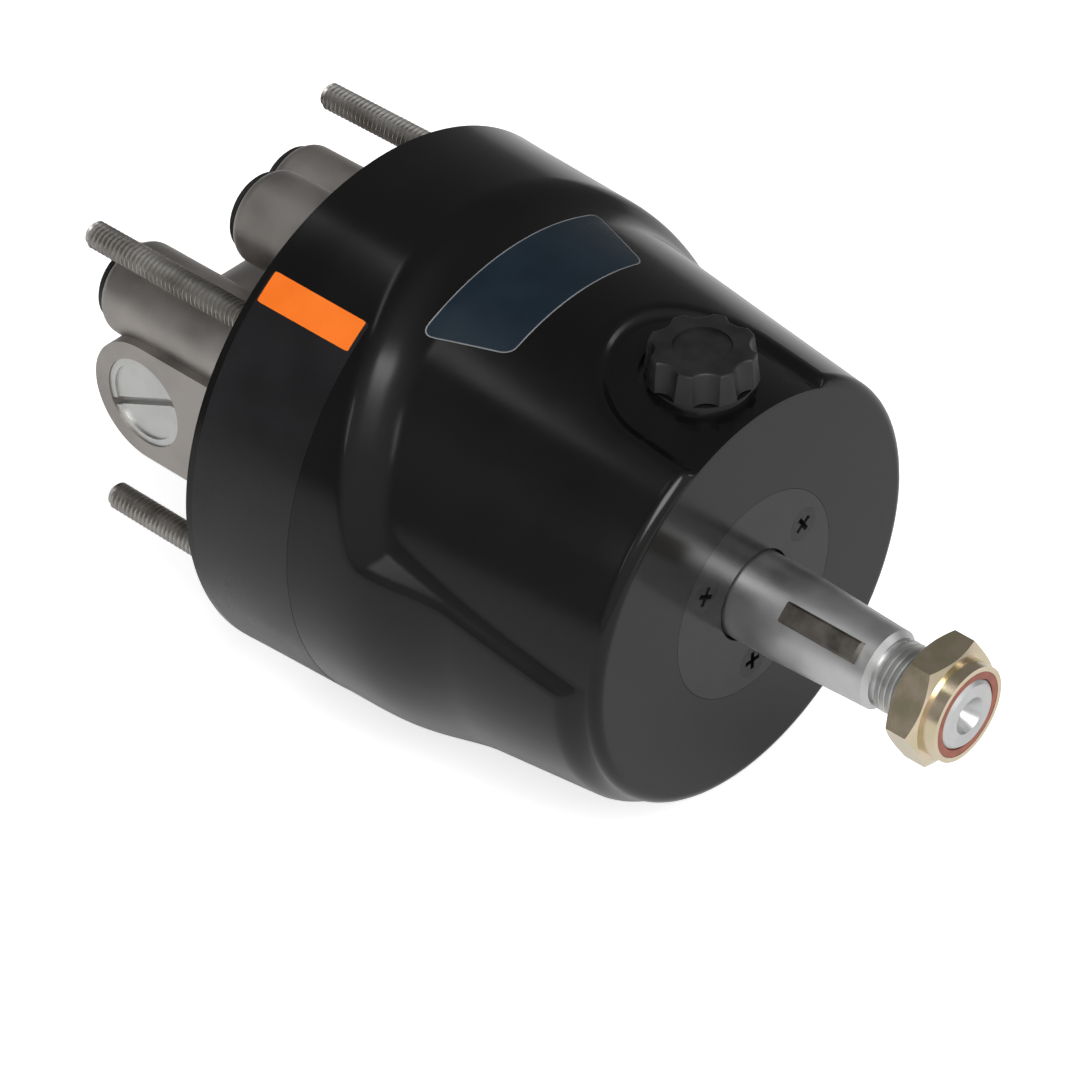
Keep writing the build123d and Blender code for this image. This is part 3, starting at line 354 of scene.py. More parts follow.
class PaintShop:
    """Makes one material for each finish and puts it on the pieces."""

    def __init__(self) -> None:
        """Start with the shared effects and no material."""
        self.effects = Effects()
        self.made: dict[str, bpy.types.Material] = {}

    def material(self, finish: Finish) -> bpy.types.Material:
        """The material of a finish, built the first time that it is asked for.

        Args:
            finish: the finish wanted.

        Returns:
            A node material on Object coordinates.
        """
        if finish.name in self.made:
            return self.made[finish.name]
        made = bpy.data.materials.new(finish.name)
        made.use_nodes = True
        nodes, links = made.node_tree.nodes, made.node_tree.links
        shader = nodes["Principled BSDF"]
        where = nodes.new("ShaderNodeTexCoord")
        clouds = nodes.new("ShaderNodeGroup")
        clouds.node_tree = self.effects.clouds
        clouds.inputs["Size"].default_value = finish.cloud
        relief = nodes.new("ShaderNodeGroup")
        turned = finish.pattern is Pattern.TURNED
        relief.node_tree = self.effects.rings if turned else self.effects.grain
        relief.inputs["Size"].default_value = finish.grain
        relief.inputs["Depth"].default_value = finish.depth
        colour = nodes.new("ShaderNodeMix")
        colour.data_type = "RGBA"
        colour.inputs["A"].default_value = (*finish.colour, 1.0)
        colour.inputs["B"].default_value = (*finish.tint, 1.0)
        rough = nodes.new("ShaderNodeMapRange")
        rough.inputs["To Min"].default_value, rough.inputs["To Max"].default_value = finish.gloss
        blend = math_node(nodes, "MULTIPLY_ADD", 1, RELIEF_SHARE[finish.pattern])
        links.new(where.outputs["Object"], clouds.inputs["Vector"])
        links.new(where.outputs["Object"], relief.inputs["Vector"])
        links.new(relief.outputs["Mask"], blend.inputs[0])
        links.new(clouds.outputs["Mask"], blend.inputs[2])
        links.new(blend.outputs[0], colour.inputs["Factor"])
        links.new(blend.outputs[0], rough.inputs["Value"])
        links.new(colour.outputs["Result"], shader.inputs["Base Color"])
        links.new(rough.outputs["Result"], shader.inputs["Roughness"])
        links.new(relief.outputs["Normal"], shader.inputs["Normal"])
        shader.inputs["Metallic"].default_value = finish.metallic
        shader.inputs["Specular IOR Level"].default_value = finish.mirror
        self.made[finish.name] = made
        return made

    def dress(self, piece: bpy.types.Object, finish: Finish) -> None:
        """Give every material slot of a piece the same finish.

        Args:
            piece: the object.
            finish: its finish.
        """
        material = self.material(finish)
        if not piece.data.materials:
            piece.data.materials.append(material)
        for index in range(len(piece.data.materials)):
            piece.data.materials[index] = material


@dataclass
class Sheet:
    """A surface on a grid: points[row, column], in millimetres.

    Args:
        points: array of shape (rows, columns, 3).
        closed: True where the last column meets the first.
        keep: mask of the quads to keep, or None for all.
        flip: True to turn its faces round.
    """

    points: np.ndarray
    closed: bool = False
    keep: np.ndarray | None = None
    flip: bool = False

    def quads(self) -> np.ndarray:
        """The faces, as rows of four corner numbers: (i, j), (i+1, j), (i+1, j+1), (i, j+1)."""
        rows, columns = self.points.shape[:2]
        spans = columns if self.closed else columns - 1
        i, j = np.meshgrid(np.arange(rows - 1), np.arange(spans), indexing="ij")
        after = (j + 1) % columns
        below = (i + 1) * columns
        faces = np.stack([i * columns + j, below + j, below + after, i * columns + after], -1)
        if self.keep is not None:
            faces = faces[self.keep]
        faces = faces.reshape(-1, 4)
        return faces[:, ::-1] if self.flip else faces


def build(
    name: str, sheets: list[Sheet], sharp: float = 35.0, extra: tuple[np.ndarray, np.ndarray] | None = None,
) -> bpy.types.Object:
    """Weld sheets into one mesh object that stands at the origin.

    Args:
        name: the piece's name.
        sheets: its surfaces.
        sharp: edges that turn by more than this many degrees stay sharp.
        extra: more points and triangles to take in, or None.

    Returns:
        The new object, linked to the scene.
    """
    points = [sheet.points.reshape(-1, 3) for sheet in sheets]
    faces, start = [], 0
    for sheet, own in zip(sheets, points):
        faces += (sheet.quads() + start).tolist()
        start += len(own)
    if extra is not None:
        points.append(extra[0])
        faces += (extra[1] + start).tolist()
    mesh = bpy.data.meshes.new(name)
    mesh.from_pydata(np.concatenate(points) * MM, [], faces)
    work = bmesh.new()
    work.from_mesh(mesh)
    bmesh.ops.remove_doubles(work, verts=work.verts, dist=WELD * MM)
    bmesh.ops.dissolve_degenerate(work, edges=work.edges, dist=SLIVER * MM)
    bmesh.ops.delete(work, geom=[vert for vert in work.verts if not vert.link_faces], context="VERTS")
    work.to_mesh(mesh)
    work.free()
    mesh.shade_smooth()
    mesh.set_sharp_from_angle(angle=math.radians(sharp))
    piece = bpy.data.objects.new(name, mesh)
    bpy.context.scene.collection.objects.link(piece)
    return piece


def triangles(node: bpy.types.Object) -> tuple[np.ndarray, np.ndarray]:
    """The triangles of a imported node.

    Args:
        node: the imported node.

    Returns:
        Points in millimetres and the triangles between them.
    """
    mesh = node.data
    points = np.empty(len(mesh.vertices) * 3)
    mesh.vertices.foreach_get("co", points)
    corners = np.empty(len(mesh.loops), int)
    mesh.loops.foreach_get("vertex_index", corners)
    return points.reshape(-1, 3) / MM, corners.reshape(-1, 3)


def lathe(profile: np.ndarray, origin: tuple[float, float, float], turns: int) -> Sheet:
    """Surface of revolution about a vertical line: point = origin + (radius cos t, radius sin t, height).

    Args:
        profile: rows of (radius, height).
        origin: where the axis starts, in millimetres.
        turns: columns round the axis.

    Returns:
        The closed sheet.
    """
    angle = np.linspace(0, 2 * np.pi, turns, endpoint=False)
    radius, height = profile[:, :1], profile[:, 1:] + 0 * angle
    points = np.stack([radius * np.cos(angle), radius * np.sin(angle), height], -1)
    return Sheet(points + np.array(origin), closed=True, flip=True)


def fused(low: np.ndarray, high: np.ndarray, blend: float) -> np.ndarray:
    """Smooth maximum of a and b: the larger one, raised by (k - |a - b|)^2 / 4k within k of each other.

    Args:
        low: the first radii, a.
        high: the second radii, b.
        blend: width of the blend, k.

    Returns:
        The blended radii.
    """
    gap = np.abs(low - high)
    rise = np.clip(blend - gap, 0, None) ** 2 / (4 * blend)
    return np.maximum(low, high) + rise


def mellowed(low: np.ndarray, high: np.ndarray, blend: float) -> np.ndarray:
    """Smooth minimum: the smooth maximum of the two turned over."""
    return -fused(-low, -high, blend)


@dataclass
class HousingCasting:
    """The black casting, as one smooth skin: radius is a function of the angle and of Y.

    skin = fused(nose, mellowed(body, fused(flank, ramp))), where body is the fuller outer form,
    flank the slanted side of the relief and ramp its tilted rear cone. Lengths are in millimetres,
    angles in degrees from +X, and 90 is the top.
    """

    # The nose cone, and the fuller body with its radius and slope at each length.
    length: float = 104.2
    rim: float = 2.6
    nose_r: float = 61.5
    nose_taper: float = 0.122
    body_y: tuple[float, ...] = (-104.2, -100.4, -95.2, -69.2, -46.5, -30.2, 0.0)
    body_r: tuple[float, ...] = (46.4, 49.3, 52.1, 55.0, 59.8, 60.64, 62.0)
    body_slope: tuple[float, ...] = (0.8, 0.75, 0.1115, 0.1115, 0.12, 0.045, 0.045)
    # The relief's flank: the corner of its section, its fall, its rise and the margin at the corner.
    flank_x: float = 52.5
    flank_y: float = -59.4
    flank_z: float = 13.8
    flank_fall: float = 1.139
    flank_rise: float = 0.36
    flank_edge: float = 0.1
    # The relief's tilted rear cone.
    ramp_y: float = -47.0
    ramp_z: float = 4.7
    ramp_r: float = 59.4
    ramp_lean: float = 20.0
    ramp_angle: float = 42.0
    # Widths of the blends.
    foot: float = 1.2
    crest: float = 1.0
    corner: float = 2.2
    # The well, the flat spot in it, and its lip as offsets from the edge with shares of the height.
    well_y: float = -88.9
    well_r: float = 19.6
    well_depth: float = 2.0
    spot_r: float = 13.0
    spot_z: float = 48.6
    lip: tuple[tuple[float, float], ...] = (
        (-1.5, 0.0), (-1.0, 0.05), (-0.5, 0.17), (0.0, 0.35), (0.5, 0.57), (1.0, 0.76),
        (1.6, 0.9), (2.3, 0.975), (3.0, 1.0),
    )
    # The filler neck: its side and top edge are steps in from neck_r, each with its height.
    neck_r: float = 11.4
    neck_edge: tuple[tuple[float, float], ...] = ((0.0, 44.0), (0.0, 49.2), (0.09, 49.41), (0.3, 49.5))
    neck_top: float = 49.5
    neck_seat_r: float = 8.2
    neck_seat_depth: float = 1.7
    neck_bore_r: float = 6.4
    neck_foot_z: float = 43.0
    neck_turns: int = 96
    # The register in the face, and the drain pad.
    register_r: float = 24.13
    pad_y: float = -34.1
    pad_r: float = 25.4
    pad_z: float = -61.4
    pad_edge: float = 1.5
    pad_edge_turns: tuple[float, ...] = (90, 72, 54, 36, 18, 0)
    pad_rings: tuple[float, ...] = (0.0, 8.0, 16.0, 22.0)
    pad_wall: float = 14.0
    pad_turns: int = 120
    # The grid: its columns, close between fine_span, and its rows over nose, relief and band.
    fine_span: tuple[float, float] = (-18.0, 198.0)
    fine_step: float = 0.6
    coarse_step: float = 1.5
    column_gap: float = 0.004
    row_counts: tuple[int, int, int] = (62, 90, 12)
    relief_end: float = -18.0
    # The window round the well and its rings.
    window_half: float = 29.5
    window_y: float = -64.5
    neck_overlap: float = 0.3
    neck_ring: float = 12.2
    spot_edge: float = 0.02
    well_rings: tuple[float, ...] = (14.6, 16.4, 17.9)
    border_rings: int = 8
    # The rounded rim's angles and the face's rings, as shares of the way out from the register.
    rim_turns: tuple[float, ...] = (0, 6, 14, 24, 34, 45, 56, 67, 78, 84, 90)
    face_shares: tuple[float, ...] = (0.97, 0.8, 0.5, 0.2, 0.0)
    # Margins for the solid's inner faces: under the skin, and at the end planes, register and spot.
    face_depth: float = 3.2
    corner_depth: float = 1.5
    plane_gap: float = 0.05
    register_gap: float = 0.3
    spot_gap: float = 0.5
    sharp: float = 40.0

    def nose(self, y: np.ndarray) -> np.ndarray:
        """Radius of the nose cone at Y: rear radius + taper y."""
        return self.nose_r + self.nose_taper * y

    def body(self, y: np.ndarray) -> np.ndarray:
        """Radius of the fuller body: cubic pieces through the named radii with the named slopes.

        Args:
            y: the places along the axis.

        Returns:
            The radii there.
        """
        knots, radii, slopes = np.array(self.body_y), np.array(self.body_r), np.array(self.body_slope)
        place = np.clip(np.searchsorted(knots, y, side="right") - 1, 0, len(knots) - 2)
        span = knots[place + 1] - knots[place]
        t = np.clip((y - knots[place]) / span, 0, 1)
        return (
            (2 * t**3 - 3 * t**2 + 1) * radii[place]
            + (t**3 - 2 * t**2 + t) * span * slopes[place]
            + (3 * t**2 - 2 * t**3) * radii[place + 1]
            + (t**3 - t**2) * span * slopes[place + 1]
        )

    def flank(self, angle: np.ndarray, y: np.ndarray) -> np.ndarray:
        """Radius where a ray from the axis leaves the relief's section.

        The section's floor is level at z = z0 + rise (y - y0) and falls by fall (|x| - x0) past x0. The nose
        covers the corner between the two, so the level part is taken a little inside that corner.

        Args:
            angle: the rays' angles, in radians.
            y: their places along the axis.

        Returns:
            The radii.
        """
        least_facing, least_up = 0.2, 0.1
        up, across = np.sin(angle), np.abs(np.cos(angle))
        level = self.flank_z + self.flank_rise * (y - self.flank_y)
        facing = up + self.flank_fall * across
        reach = (level + self.flank_fall * self.flank_x) / np.maximum(facing, least_facing)
        slope = np.where(facing > least_facing, reach, 2 * self.nose_r)
        inside = np.arctan2(up, across) > np.arctan2(level, self.flank_x) + self.flank_edge
        return np.where(inside, level / np.maximum(up, least_up), slope)

    def ramp(self, angle: np.ndarray, y: np.ndarray) -> np.ndarray:
        """Radius where a ray meets the tilted cone: the positive root of a r^2 + b r + c = 0.

        Args:
            angle: the rays' angles, in radians.
            y: their places along the axis.

        Returns:
            The radii, 0 where the cone has run out.
        """
        lean, rise = math.radians(self.ramp_lean), math.tan(math.radians(self.ramp_angle))
        up, across = np.sin(angle), np.cos(angle)
        back = y - self.ramp_y
        side = back * math.sin(lean) - self.ramp_z * math.cos(lean)
        along = back * math.cos(lean) + self.ramp_z * math.sin(lean)
        reach = self.ramp_r + rise * along
        fall = rise * math.sin(lean) * up
        a = across**2 + (math.cos(lean) * up) ** 2 - fall**2
        b = 2 * (side * math.cos(lean) * up + reach * fall)
        c = side**2 - reach**2
        root = (-b + np.sqrt(np.maximum(b**2 - 4 * a * c, 0))) / (2 * a)
        return np.where(reach > 0, root, 0.0)

    def skin(self, angle: np.ndarray, y: np.ndarray) -> np.ndarray:
        """Radius of the whole skin, without the well."""
        relief = fused(self.flank(angle, y), self.ramp(angle, y), self.corner)
        return fused(self.nose(y), mellowed(self.body(y), relief, self.crest), self.foot)

    def level(self, x: np.ndarray, y: np.ndarray) -> np.ndarray:
        """How far up from the well's floor a point stands: 0 on the floor, 1 on the skin.

        Args:
            x: the points' X.
            y: their Y.

        Returns:
            The shares of the height.
        """
        round_gap = np.hypot(x, y - self.well_y) - self.well_r
        gap = np.where(y > self.well_y, round_gap, np.abs(x) - self.well_r)
        offsets, levels = np.array(self.lip).T
        return np.interp(gap, offsets, levels)

    def sunk(self, points: np.ndarray) -> np.ndarray:
        """Let points of the skin down to the well's floor: z = floor + level (z - floor).

        Args:
            points: points on the skin, in the last axis x, y and z.

        Returns:
            The points, those over the well let down.
        """
        x, y, z = np.moveaxis(points, -1, 0)
        floor = np.sqrt(np.maximum((self.nose(y) - self.well_depth) ** 2 - x**2, 0))
        inside = np.hypot(x, y - self.well_y) < self.spot_r
        floor = np.where(inside, np.minimum(floor, self.spot_z), floor)
        floor = np.minimum(floor, z)
        top = (z > 0) & (np.abs(x) < 2 * self.well_r)
        lowered = floor + (z - floor) * self.level(x, y)
        return np.stack([x, y, np.where(top, lowered, z)], -1)

    def wrap(self, radius: np.ndarray, angle: np.ndarray, y: np.ndarray) -> np.ndarray:
        """Points at (r cos a, y, r sin a)."""
        return np.stack([radius * np.cos(angle), y + 0 * angle, radius * np.sin(angle)], -1)

    def columns(self, front_y: float) -> np.ndarray:
        """Angles of the grid's columns: close over the relief, wide below, and one for each line of the lip.

        Args:
            front_y: Y of the first row.

        Returns:
            The angles in radians, rising.
        """
        edge = self.well_r + np.array(self.lip)[:, 0]
        lip = np.arccos(edge / self.nose(np.array(front_y)))
        low, high = self.fine_span
        spread = [np.arange(low, high, self.fine_step), np.arange(high, low + 360, self.coarse_step)]
        even = np.radians(np.concatenate(spread) % 360)
        window = np.radians([90 - self.window_half, 90 + self.window_half])
        fixed = np.concatenate([window, lip, np.pi - lip])
        even = even[np.abs(even[:, None] - fixed).min(1) > self.column_gap]
        return np.sort(np.concatenate([even, fixed]))

    def mantle(self, angle: np.ndarray, rows: np.ndarray) -> Sheet:
        """The skin from the rim to the rear face, with an open window round the well.

        Args:
            angle: the columns' angles.
            rows: the rows' Y.

        Returns:
            The closed sheet without the window's quads.
        """
        a, y = np.meshgrid(angle, rows)
        half = math.radians(self.window_half) + TINY
        beside = np.abs(angle - np.pi / 2) < half
        spans = beside & np.roll(beside, -1)
        front = rows[1:] < self.window_y + TINY
        return Sheet(self.wrap(self.skin(a, y), a, y), closed=True, keep=~(front[:, None] & spans[None, :]))

    def window(self, angle: np.ndarray, rows: np.ndarray) -> Sheet:
        """The patch round the well: rings between the neck and the window's border, along rays from the neck.

        A ray's rings are at radii r / |sin f| past the straight sides of the well, and r past its round end,
        and no ring lies outside the border.

        Args:
            angle: the mantle's angles, which the border shares.
            rows: the mantle's rows.

        Returns:
            The closed sheet.
        """
        half = math.radians(self.window_half) + TINY
        across = angle[np.abs(angle - np.pi / 2) < half]
        along = rows[rows < self.window_y + TINY]
        wide, deep = np.ones(len(across) - 1), np.ones(len(along) - 1)
        border_a = np.concatenate([across[:-1], across[-1] * deep, across[:0:-1], across[0] * deep])
        border_y = np.concatenate([along[0] * wide, along[:-1], along[-1] * wide, along[:0:-1]])
        border_x = self.nose(border_y) * np.cos(border_a)
        reach = np.hypot(border_x, border_y - self.well_y)
        side, ahead = border_x / reach, (border_y - self.well_y) / reach
        least_side = 1e-3
        stretch = np.where(ahead > 0, 1.0, 1 / np.maximum(np.abs(side), least_side))
        inner = np.array([
            self.neck_r - self.neck_overlap, self.neck_ring, self.spot_r - self.spot_edge,
            self.spot_r + self.spot_edge, *self.well_rings,
        ])
        lip = (self.well_r + np.array(self.lip)[:, 0])[:, None] * stretch
        rings = np.concatenate([inner[:, None] + 0 * reach, lip])
        rings = np.minimum(rings, reach)
        share = np.linspace(0, 1, self.border_rings + 1)[1:, None]
        rings = np.concatenate([rings, rings[-1:] + (reach - rings[-1:]) * share])
        x, y = rings * side, self.well_y + rings * ahead
        a = np.arccos(np.clip(x / self.nose(y), -1, 1))
        points = self.sunk(self.wrap(self.skin(a, y), a, y))
        return Sheet(points, closed=True, flip=True)

    def front(self, angle: np.ndarray, front_y: float) -> Sheet:
        """The rounded rim and the face: r = r0 - R (1 - cos t), y = y0 - R sin t, then flat to the register.

        Args:
            angle: the columns' angles.
            front_y: Y where the rim starts to turn in.

        Returns:
            The closed sheet.
        """
        turn = np.radians(self.rim_turns)
        base = self.skin(angle, np.full_like(angle, front_y))
        radius = base - self.rim * (1 - np.cos(turn))[:, None]
        y = front_y - self.rim * np.sin(turn)[:, None]
        rim = self.sunk(self.wrap(radius, angle, y))
        edge = np.hypot(rim[-1, :, 0], rim[-1, :, 2])
        share = np.array(self.face_shares)[:, None]
        face_r = self.register_r + (edge - self.register_r) * share
        face_a = np.arctan2(rim[-1, :, 2], rim[-1, :, 0])
        face = self.wrap(face_r, face_a + 0 * share, np.full((len(share), 1), -self.length))
        return Sheet(np.concatenate([rim, face]), closed=True, flip=True)

    def neck(self) -> Sheet:
        """The filler neck: its side, its top and the seat of the cap's ring, turned about a vertical axis.

        Returns:
            The closed sheet.
        """
        top, seat = self.neck_top, self.neck_top - self.neck_seat_depth
        profile = [(self.neck_r - step, height) for step, height in self.neck_edge]
        profile += [(self.neck_seat_r, top), (self.neck_seat_r, seat)]
        profile += [(self.neck_bore_r, seat), (self.neck_bore_r, self.neck_foot_z)]
        return lathe(np.array(profile), (0, self.well_y, 0), self.neck_turns)

    def pad(self) -> Sheet:
        """The drain pad: a flat round foot with a rounded edge.

        Returns:
            The closed sheet.
        """
        turn = np.radians(self.pad_edge_turns)
        arc_r = self.pad_r - self.pad_edge * (1 - np.cos(turn))
        arc_z = self.pad_z + self.pad_edge * (1 - np.sin(turn))
        flat = [(radius, self.pad_z) for radius in self.pad_rings]
        profile = np.array(flat + list(zip(arc_r, arc_z)) + [(self.pad_r, self.pad_z + self.pad_wall)])
        return lathe(profile, (0, self.pad_y, 0), self.pad_turns)

    def inside(self, node: bpy.types.Object) -> tuple[np.ndarray, np.ndarray]:
        """The casting's own inner faces, from its solid: bores, register and tapped holes.

        Args:
            node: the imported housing.

        Returns:
            Points in millimetres and the triangles between them.
        """
        points, faces = triangles(node)
        x, y, z = points[faces].mean(1).T
        radius = np.hypot(x, z)
        farthest = np.hypot(points[:, 0], points[:, 2])[faces].max(1)
        skin = self.skin(np.arctan2(z, x), y)
        below = (radius < skin - self.face_depth) & (farthest < skin - self.corner_depth)
        face = (y < self.plane_gap - self.length) & (radius > self.register_r - self.register_gap)
        well = (np.hypot(x, y - self.well_y) < self.spot_r + self.spot_gap) & (z > self.neck_foot_z)
        rear = y > -self.plane_gap
        return points, faces[(below & ~face & ~well) | rear]

    def make(self, shop: PaintShop, node: bpy.types.Object) -> None:
        """Build the casting and put it in the place of its solid.

        Args:
            shop: the paint shop.
            node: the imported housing.
        """
        front_y = self.rim - self.length
        angle = self.columns(front_y)
        ends = (front_y, self.window_y, self.relief_end, 0.0)
        spans = [np.linspace(*span) for span in zip(ends[:-1], ends[1:], self.row_counts)]
        rows = np.concatenate([spans[0], *(span[1:] for span in spans[1:])])
        sheets = [self.mantle(angle, rows), self.window(angle, rows), self.front(angle, front_y)]
        sheets += [self.neck(), self.pad()]
        piece = build("housing_casting", sheets, self.sharp, self.inside(node))
        shop.dress(piece, HOUSING_PAINT)
        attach(piece, Body.PUMP.value)
        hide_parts("housing")
        log.info("housing_casting: %d faces", len(piece.data.polygons))


@dataclass
class Thread:
    """An outside screw thread about a line along Y.

    Args:
        axis: X and Z of the line.
        start: Y of the front end.
        end: Y of the rear end.
        radius: outside radius.
        pitch: distance between crests.
        chamfer: drop of the radius at the front and rear end.
        columns: steps round the line.
        depth: depth of the thread, as a share of the pitch.
        section: one pitch of the sharp V, as shares of the pitch and of the depth.
    """

    axis: tuple[float, float]
    start: float
    end: float
    radius: float
    pitch: float
    chamfer: tuple[float, float]
    columns: int
    depth: float = 0.6134
    section: tuple[tuple[float, float], ...] = (
        (0.0, 0.0), (0.06, 0.0), (0.44, 1.0), (0.56, 1.0), (0.94, 0.0),
    )

    def sheet(self) -> Sheet:
        """The thread as a grid that follows the helix: y = pitch (turn + t / 2 pi), radius by the section.

        Returns:
            The open sheet, its first and last column one pitch apart.
        """
        along, dip = np.array(self.section).T
        turns = int(math.ceil((self.end - self.start) / self.pitch)) + 2
        place = (np.arange(turns)[:, None] + along).ravel() - 1
        sunk = np.tile(dip, turns) * (self.depth * self.pitch)
        t = np.linspace(0, 1, self.columns + 1)
        y = self.start + self.pitch * (place[:, None] + t[None, :])
        y = np.clip(y, self.start, self.end)
        from_front = self.radius - self.chamfer[0] + (y - self.start)
        from_rear = self.radius - self.chamfer[1] + (self.end - y)
        thread = self.radius - sunk[:, None] + 0 * t
        radius = np.minimum(np.minimum(thread, from_front), from_rear)
        angle = 2 * np.pi * t
        x, z = radius * np.cos(angle) + self.axis[0], radius * np.sin(angle) + self.axis[1]
        return Sheet(np.stack([x, y, z], -1))

    def end_face(self, at_start: bool) -> Sheet:
        """The flat disc that closes one end.

        Args:
            at_start: True for the front end.

        Returns:
            The sheet.
        """
        angle = np.linspace(0, 2 * np.pi, self.columns + 1)
        radius = self.radius - self.chamfer[0 if at_start else 1]
        ring = np.array([0.0, radius])[:, None]
        y = self.start if at_start else self.end
        x, z = ring * np.cos(angle) + self.axis[0], ring * np.sin(angle) + self.axis[1]
        return Sheet(np.stack([x, y + 0 * x, z], -1), flip=not at_start)


@dataclass
class DashStuds:
    """The four threaded rods in the rear of the housing."""

    radius: float = 3.175
    pitch: float = 1.27
    circle: float = 101.6
    chamfer: float = 0.85
    end_r: float = 2.9
    end_chamfer: float = 0.5
    columns: int = 24
    sharp: float = 20.0

    def make(self, shop: PaintShop) -> None:
        """Build the rods, as long as their solids are.

        Args:
            shop: the paint shop.
        """
        low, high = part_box("dash_studs")
        start, end = low.y / MM, high.y / MM
        reach = self.circle / 2 * math.sin(math.radians(45))
        step = self.radius - self.end_r
        sheets = []
        for x in (-reach, reach):
            for z in (-reach, reach):
                foot = Thread(
                    (x, z), start, 0.0, self.end_r, self.pitch, (self.end_chamfer, 0.0), self.columns,
                )
                rod = Thread((x, z), 0.0, end, self.radius, self.pitch, (step, self.chamfer), self.columns)
                sheets += [foot.sheet(), foot.end_face(True), rod.sheet(), rod.end_face(False)]
        piece = build("dash_stud_rods", sheets, self.sharp)
        shop.dress(piece, STUD_STEEL)
        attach(piece, Body.PUMP.value)
        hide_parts("dash_studs")
        log.info("dash_stud_rods: %d faces", len(piece.data.polygons))


@dataclass
class WheelShaft:
    """The wheel shaft: its own solid, with the real thread in the place of the plain end.

    A face is part of the plain end where all its corners lie within fit of the thread's radius, in
    front of plain_y. A face is turned where it faces the axis by more than the share turned_share.
    """

    radius: float = 7.94
    pitch: float = 1.411
    chamfer: float = 0.02
    columns: int = 48
    fit: float = 0.03
    plain_y: float = -139.0
    turned_share: float = 0.98
    sharp: float = 20.0

    def rest(self, node: bpy.types.Object) -> tuple[np.ndarray, np.ndarray, tuple[float, float]]:
        """The solid's faces without the plain cylinder of the thread.

        Args:
            node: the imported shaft.

        Returns:
            Points in millimetres, the triangles between them, and the front and rear Y of the thread.
        """
        points, faces = triangles(node)
        rims = points[faces]
        radius = np.hypot(rims[:, :, 0], rims[:, :, 2])
        y = rims[:, :, 1]
        plain = (np.abs(radius - self.radius) < self.fit).all(1) & (y < self.plain_y).all(1)
        return points, faces[~plain], (y[plain].min(), y[plain].max())

    def straighten(self, mesh: bpy.types.Mesh) -> None:
        """Give faces that were turned about the axis their exact normals: n = radial sqrt(1 - ny^2) + y ny.

        Args:
            mesh: the shaft's mesh.
        """
        count = len(mesh.loops)
        normals, facing = np.empty(count * 3), np.empty(len(mesh.polygons) * 3)
        corners, sizes = np.empty(count, int), np.empty(len(mesh.polygons), int)
        points = np.empty(len(mesh.vertices) * 3)
        mesh.corner_normals.foreach_get("vector", normals)
        mesh.polygons.foreach_get("normal", facing)
        mesh.polygons.foreach_get("loop_total", sizes)
        mesh.loops.foreach_get("vertex_index", corners)
        mesh.vertices.foreach_get("co", points)
        normals, facing = normals.reshape(-1, 3), np.repeat(facing.reshape(-1, 3), sizes, axis=0)
        radial = points.reshape(-1, 3)[corners] * (1, 0, 1)
        radial /= np.maximum(np.linalg.norm(radial, axis=1, keepdims=True), TINY * MM)
        across = np.hypot(facing[:, 0], facing[:, 2])
        least_across = 0.1
        turned = (facing * radial).sum(1) > self.turned_share * np.maximum(across, least_across)
        along = normals[:, 1:2]
        exact = radial * np.sqrt(np.maximum(1 - along**2, 0)) + along * np.array([0, 1, 0])
        mesh.normals_split_custom_set(np.where(turned[:, None], exact, normals).tolist())

    def make(self, shop: PaintShop, node: bpy.types.Object) -> None:
        """Build the shaft with its thread.

        Args:
            shop: the paint shop.
            node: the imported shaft.
        """
        points, faces, ends = self.rest(node)
        chamfer = (self.chamfer, self.chamfer)
        thread = Thread((0.0, 0.0), *ends, self.radius, self.pitch, chamfer, self.columns)
        piece = build("threaded_wheel_shaft", [thread.sheet()], self.sharp, (points, faces))
        self.straighten(piece.data)
        shop.dress(piece, SHAFT_STEEL)
        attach(piece, Body.ROTOR.value)
        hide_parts("wheel_shaft")
        log.info("threaded_wheel_shaft: %d faces, thread %.1f to %.1f", len(piece.data.polygons), *ends)


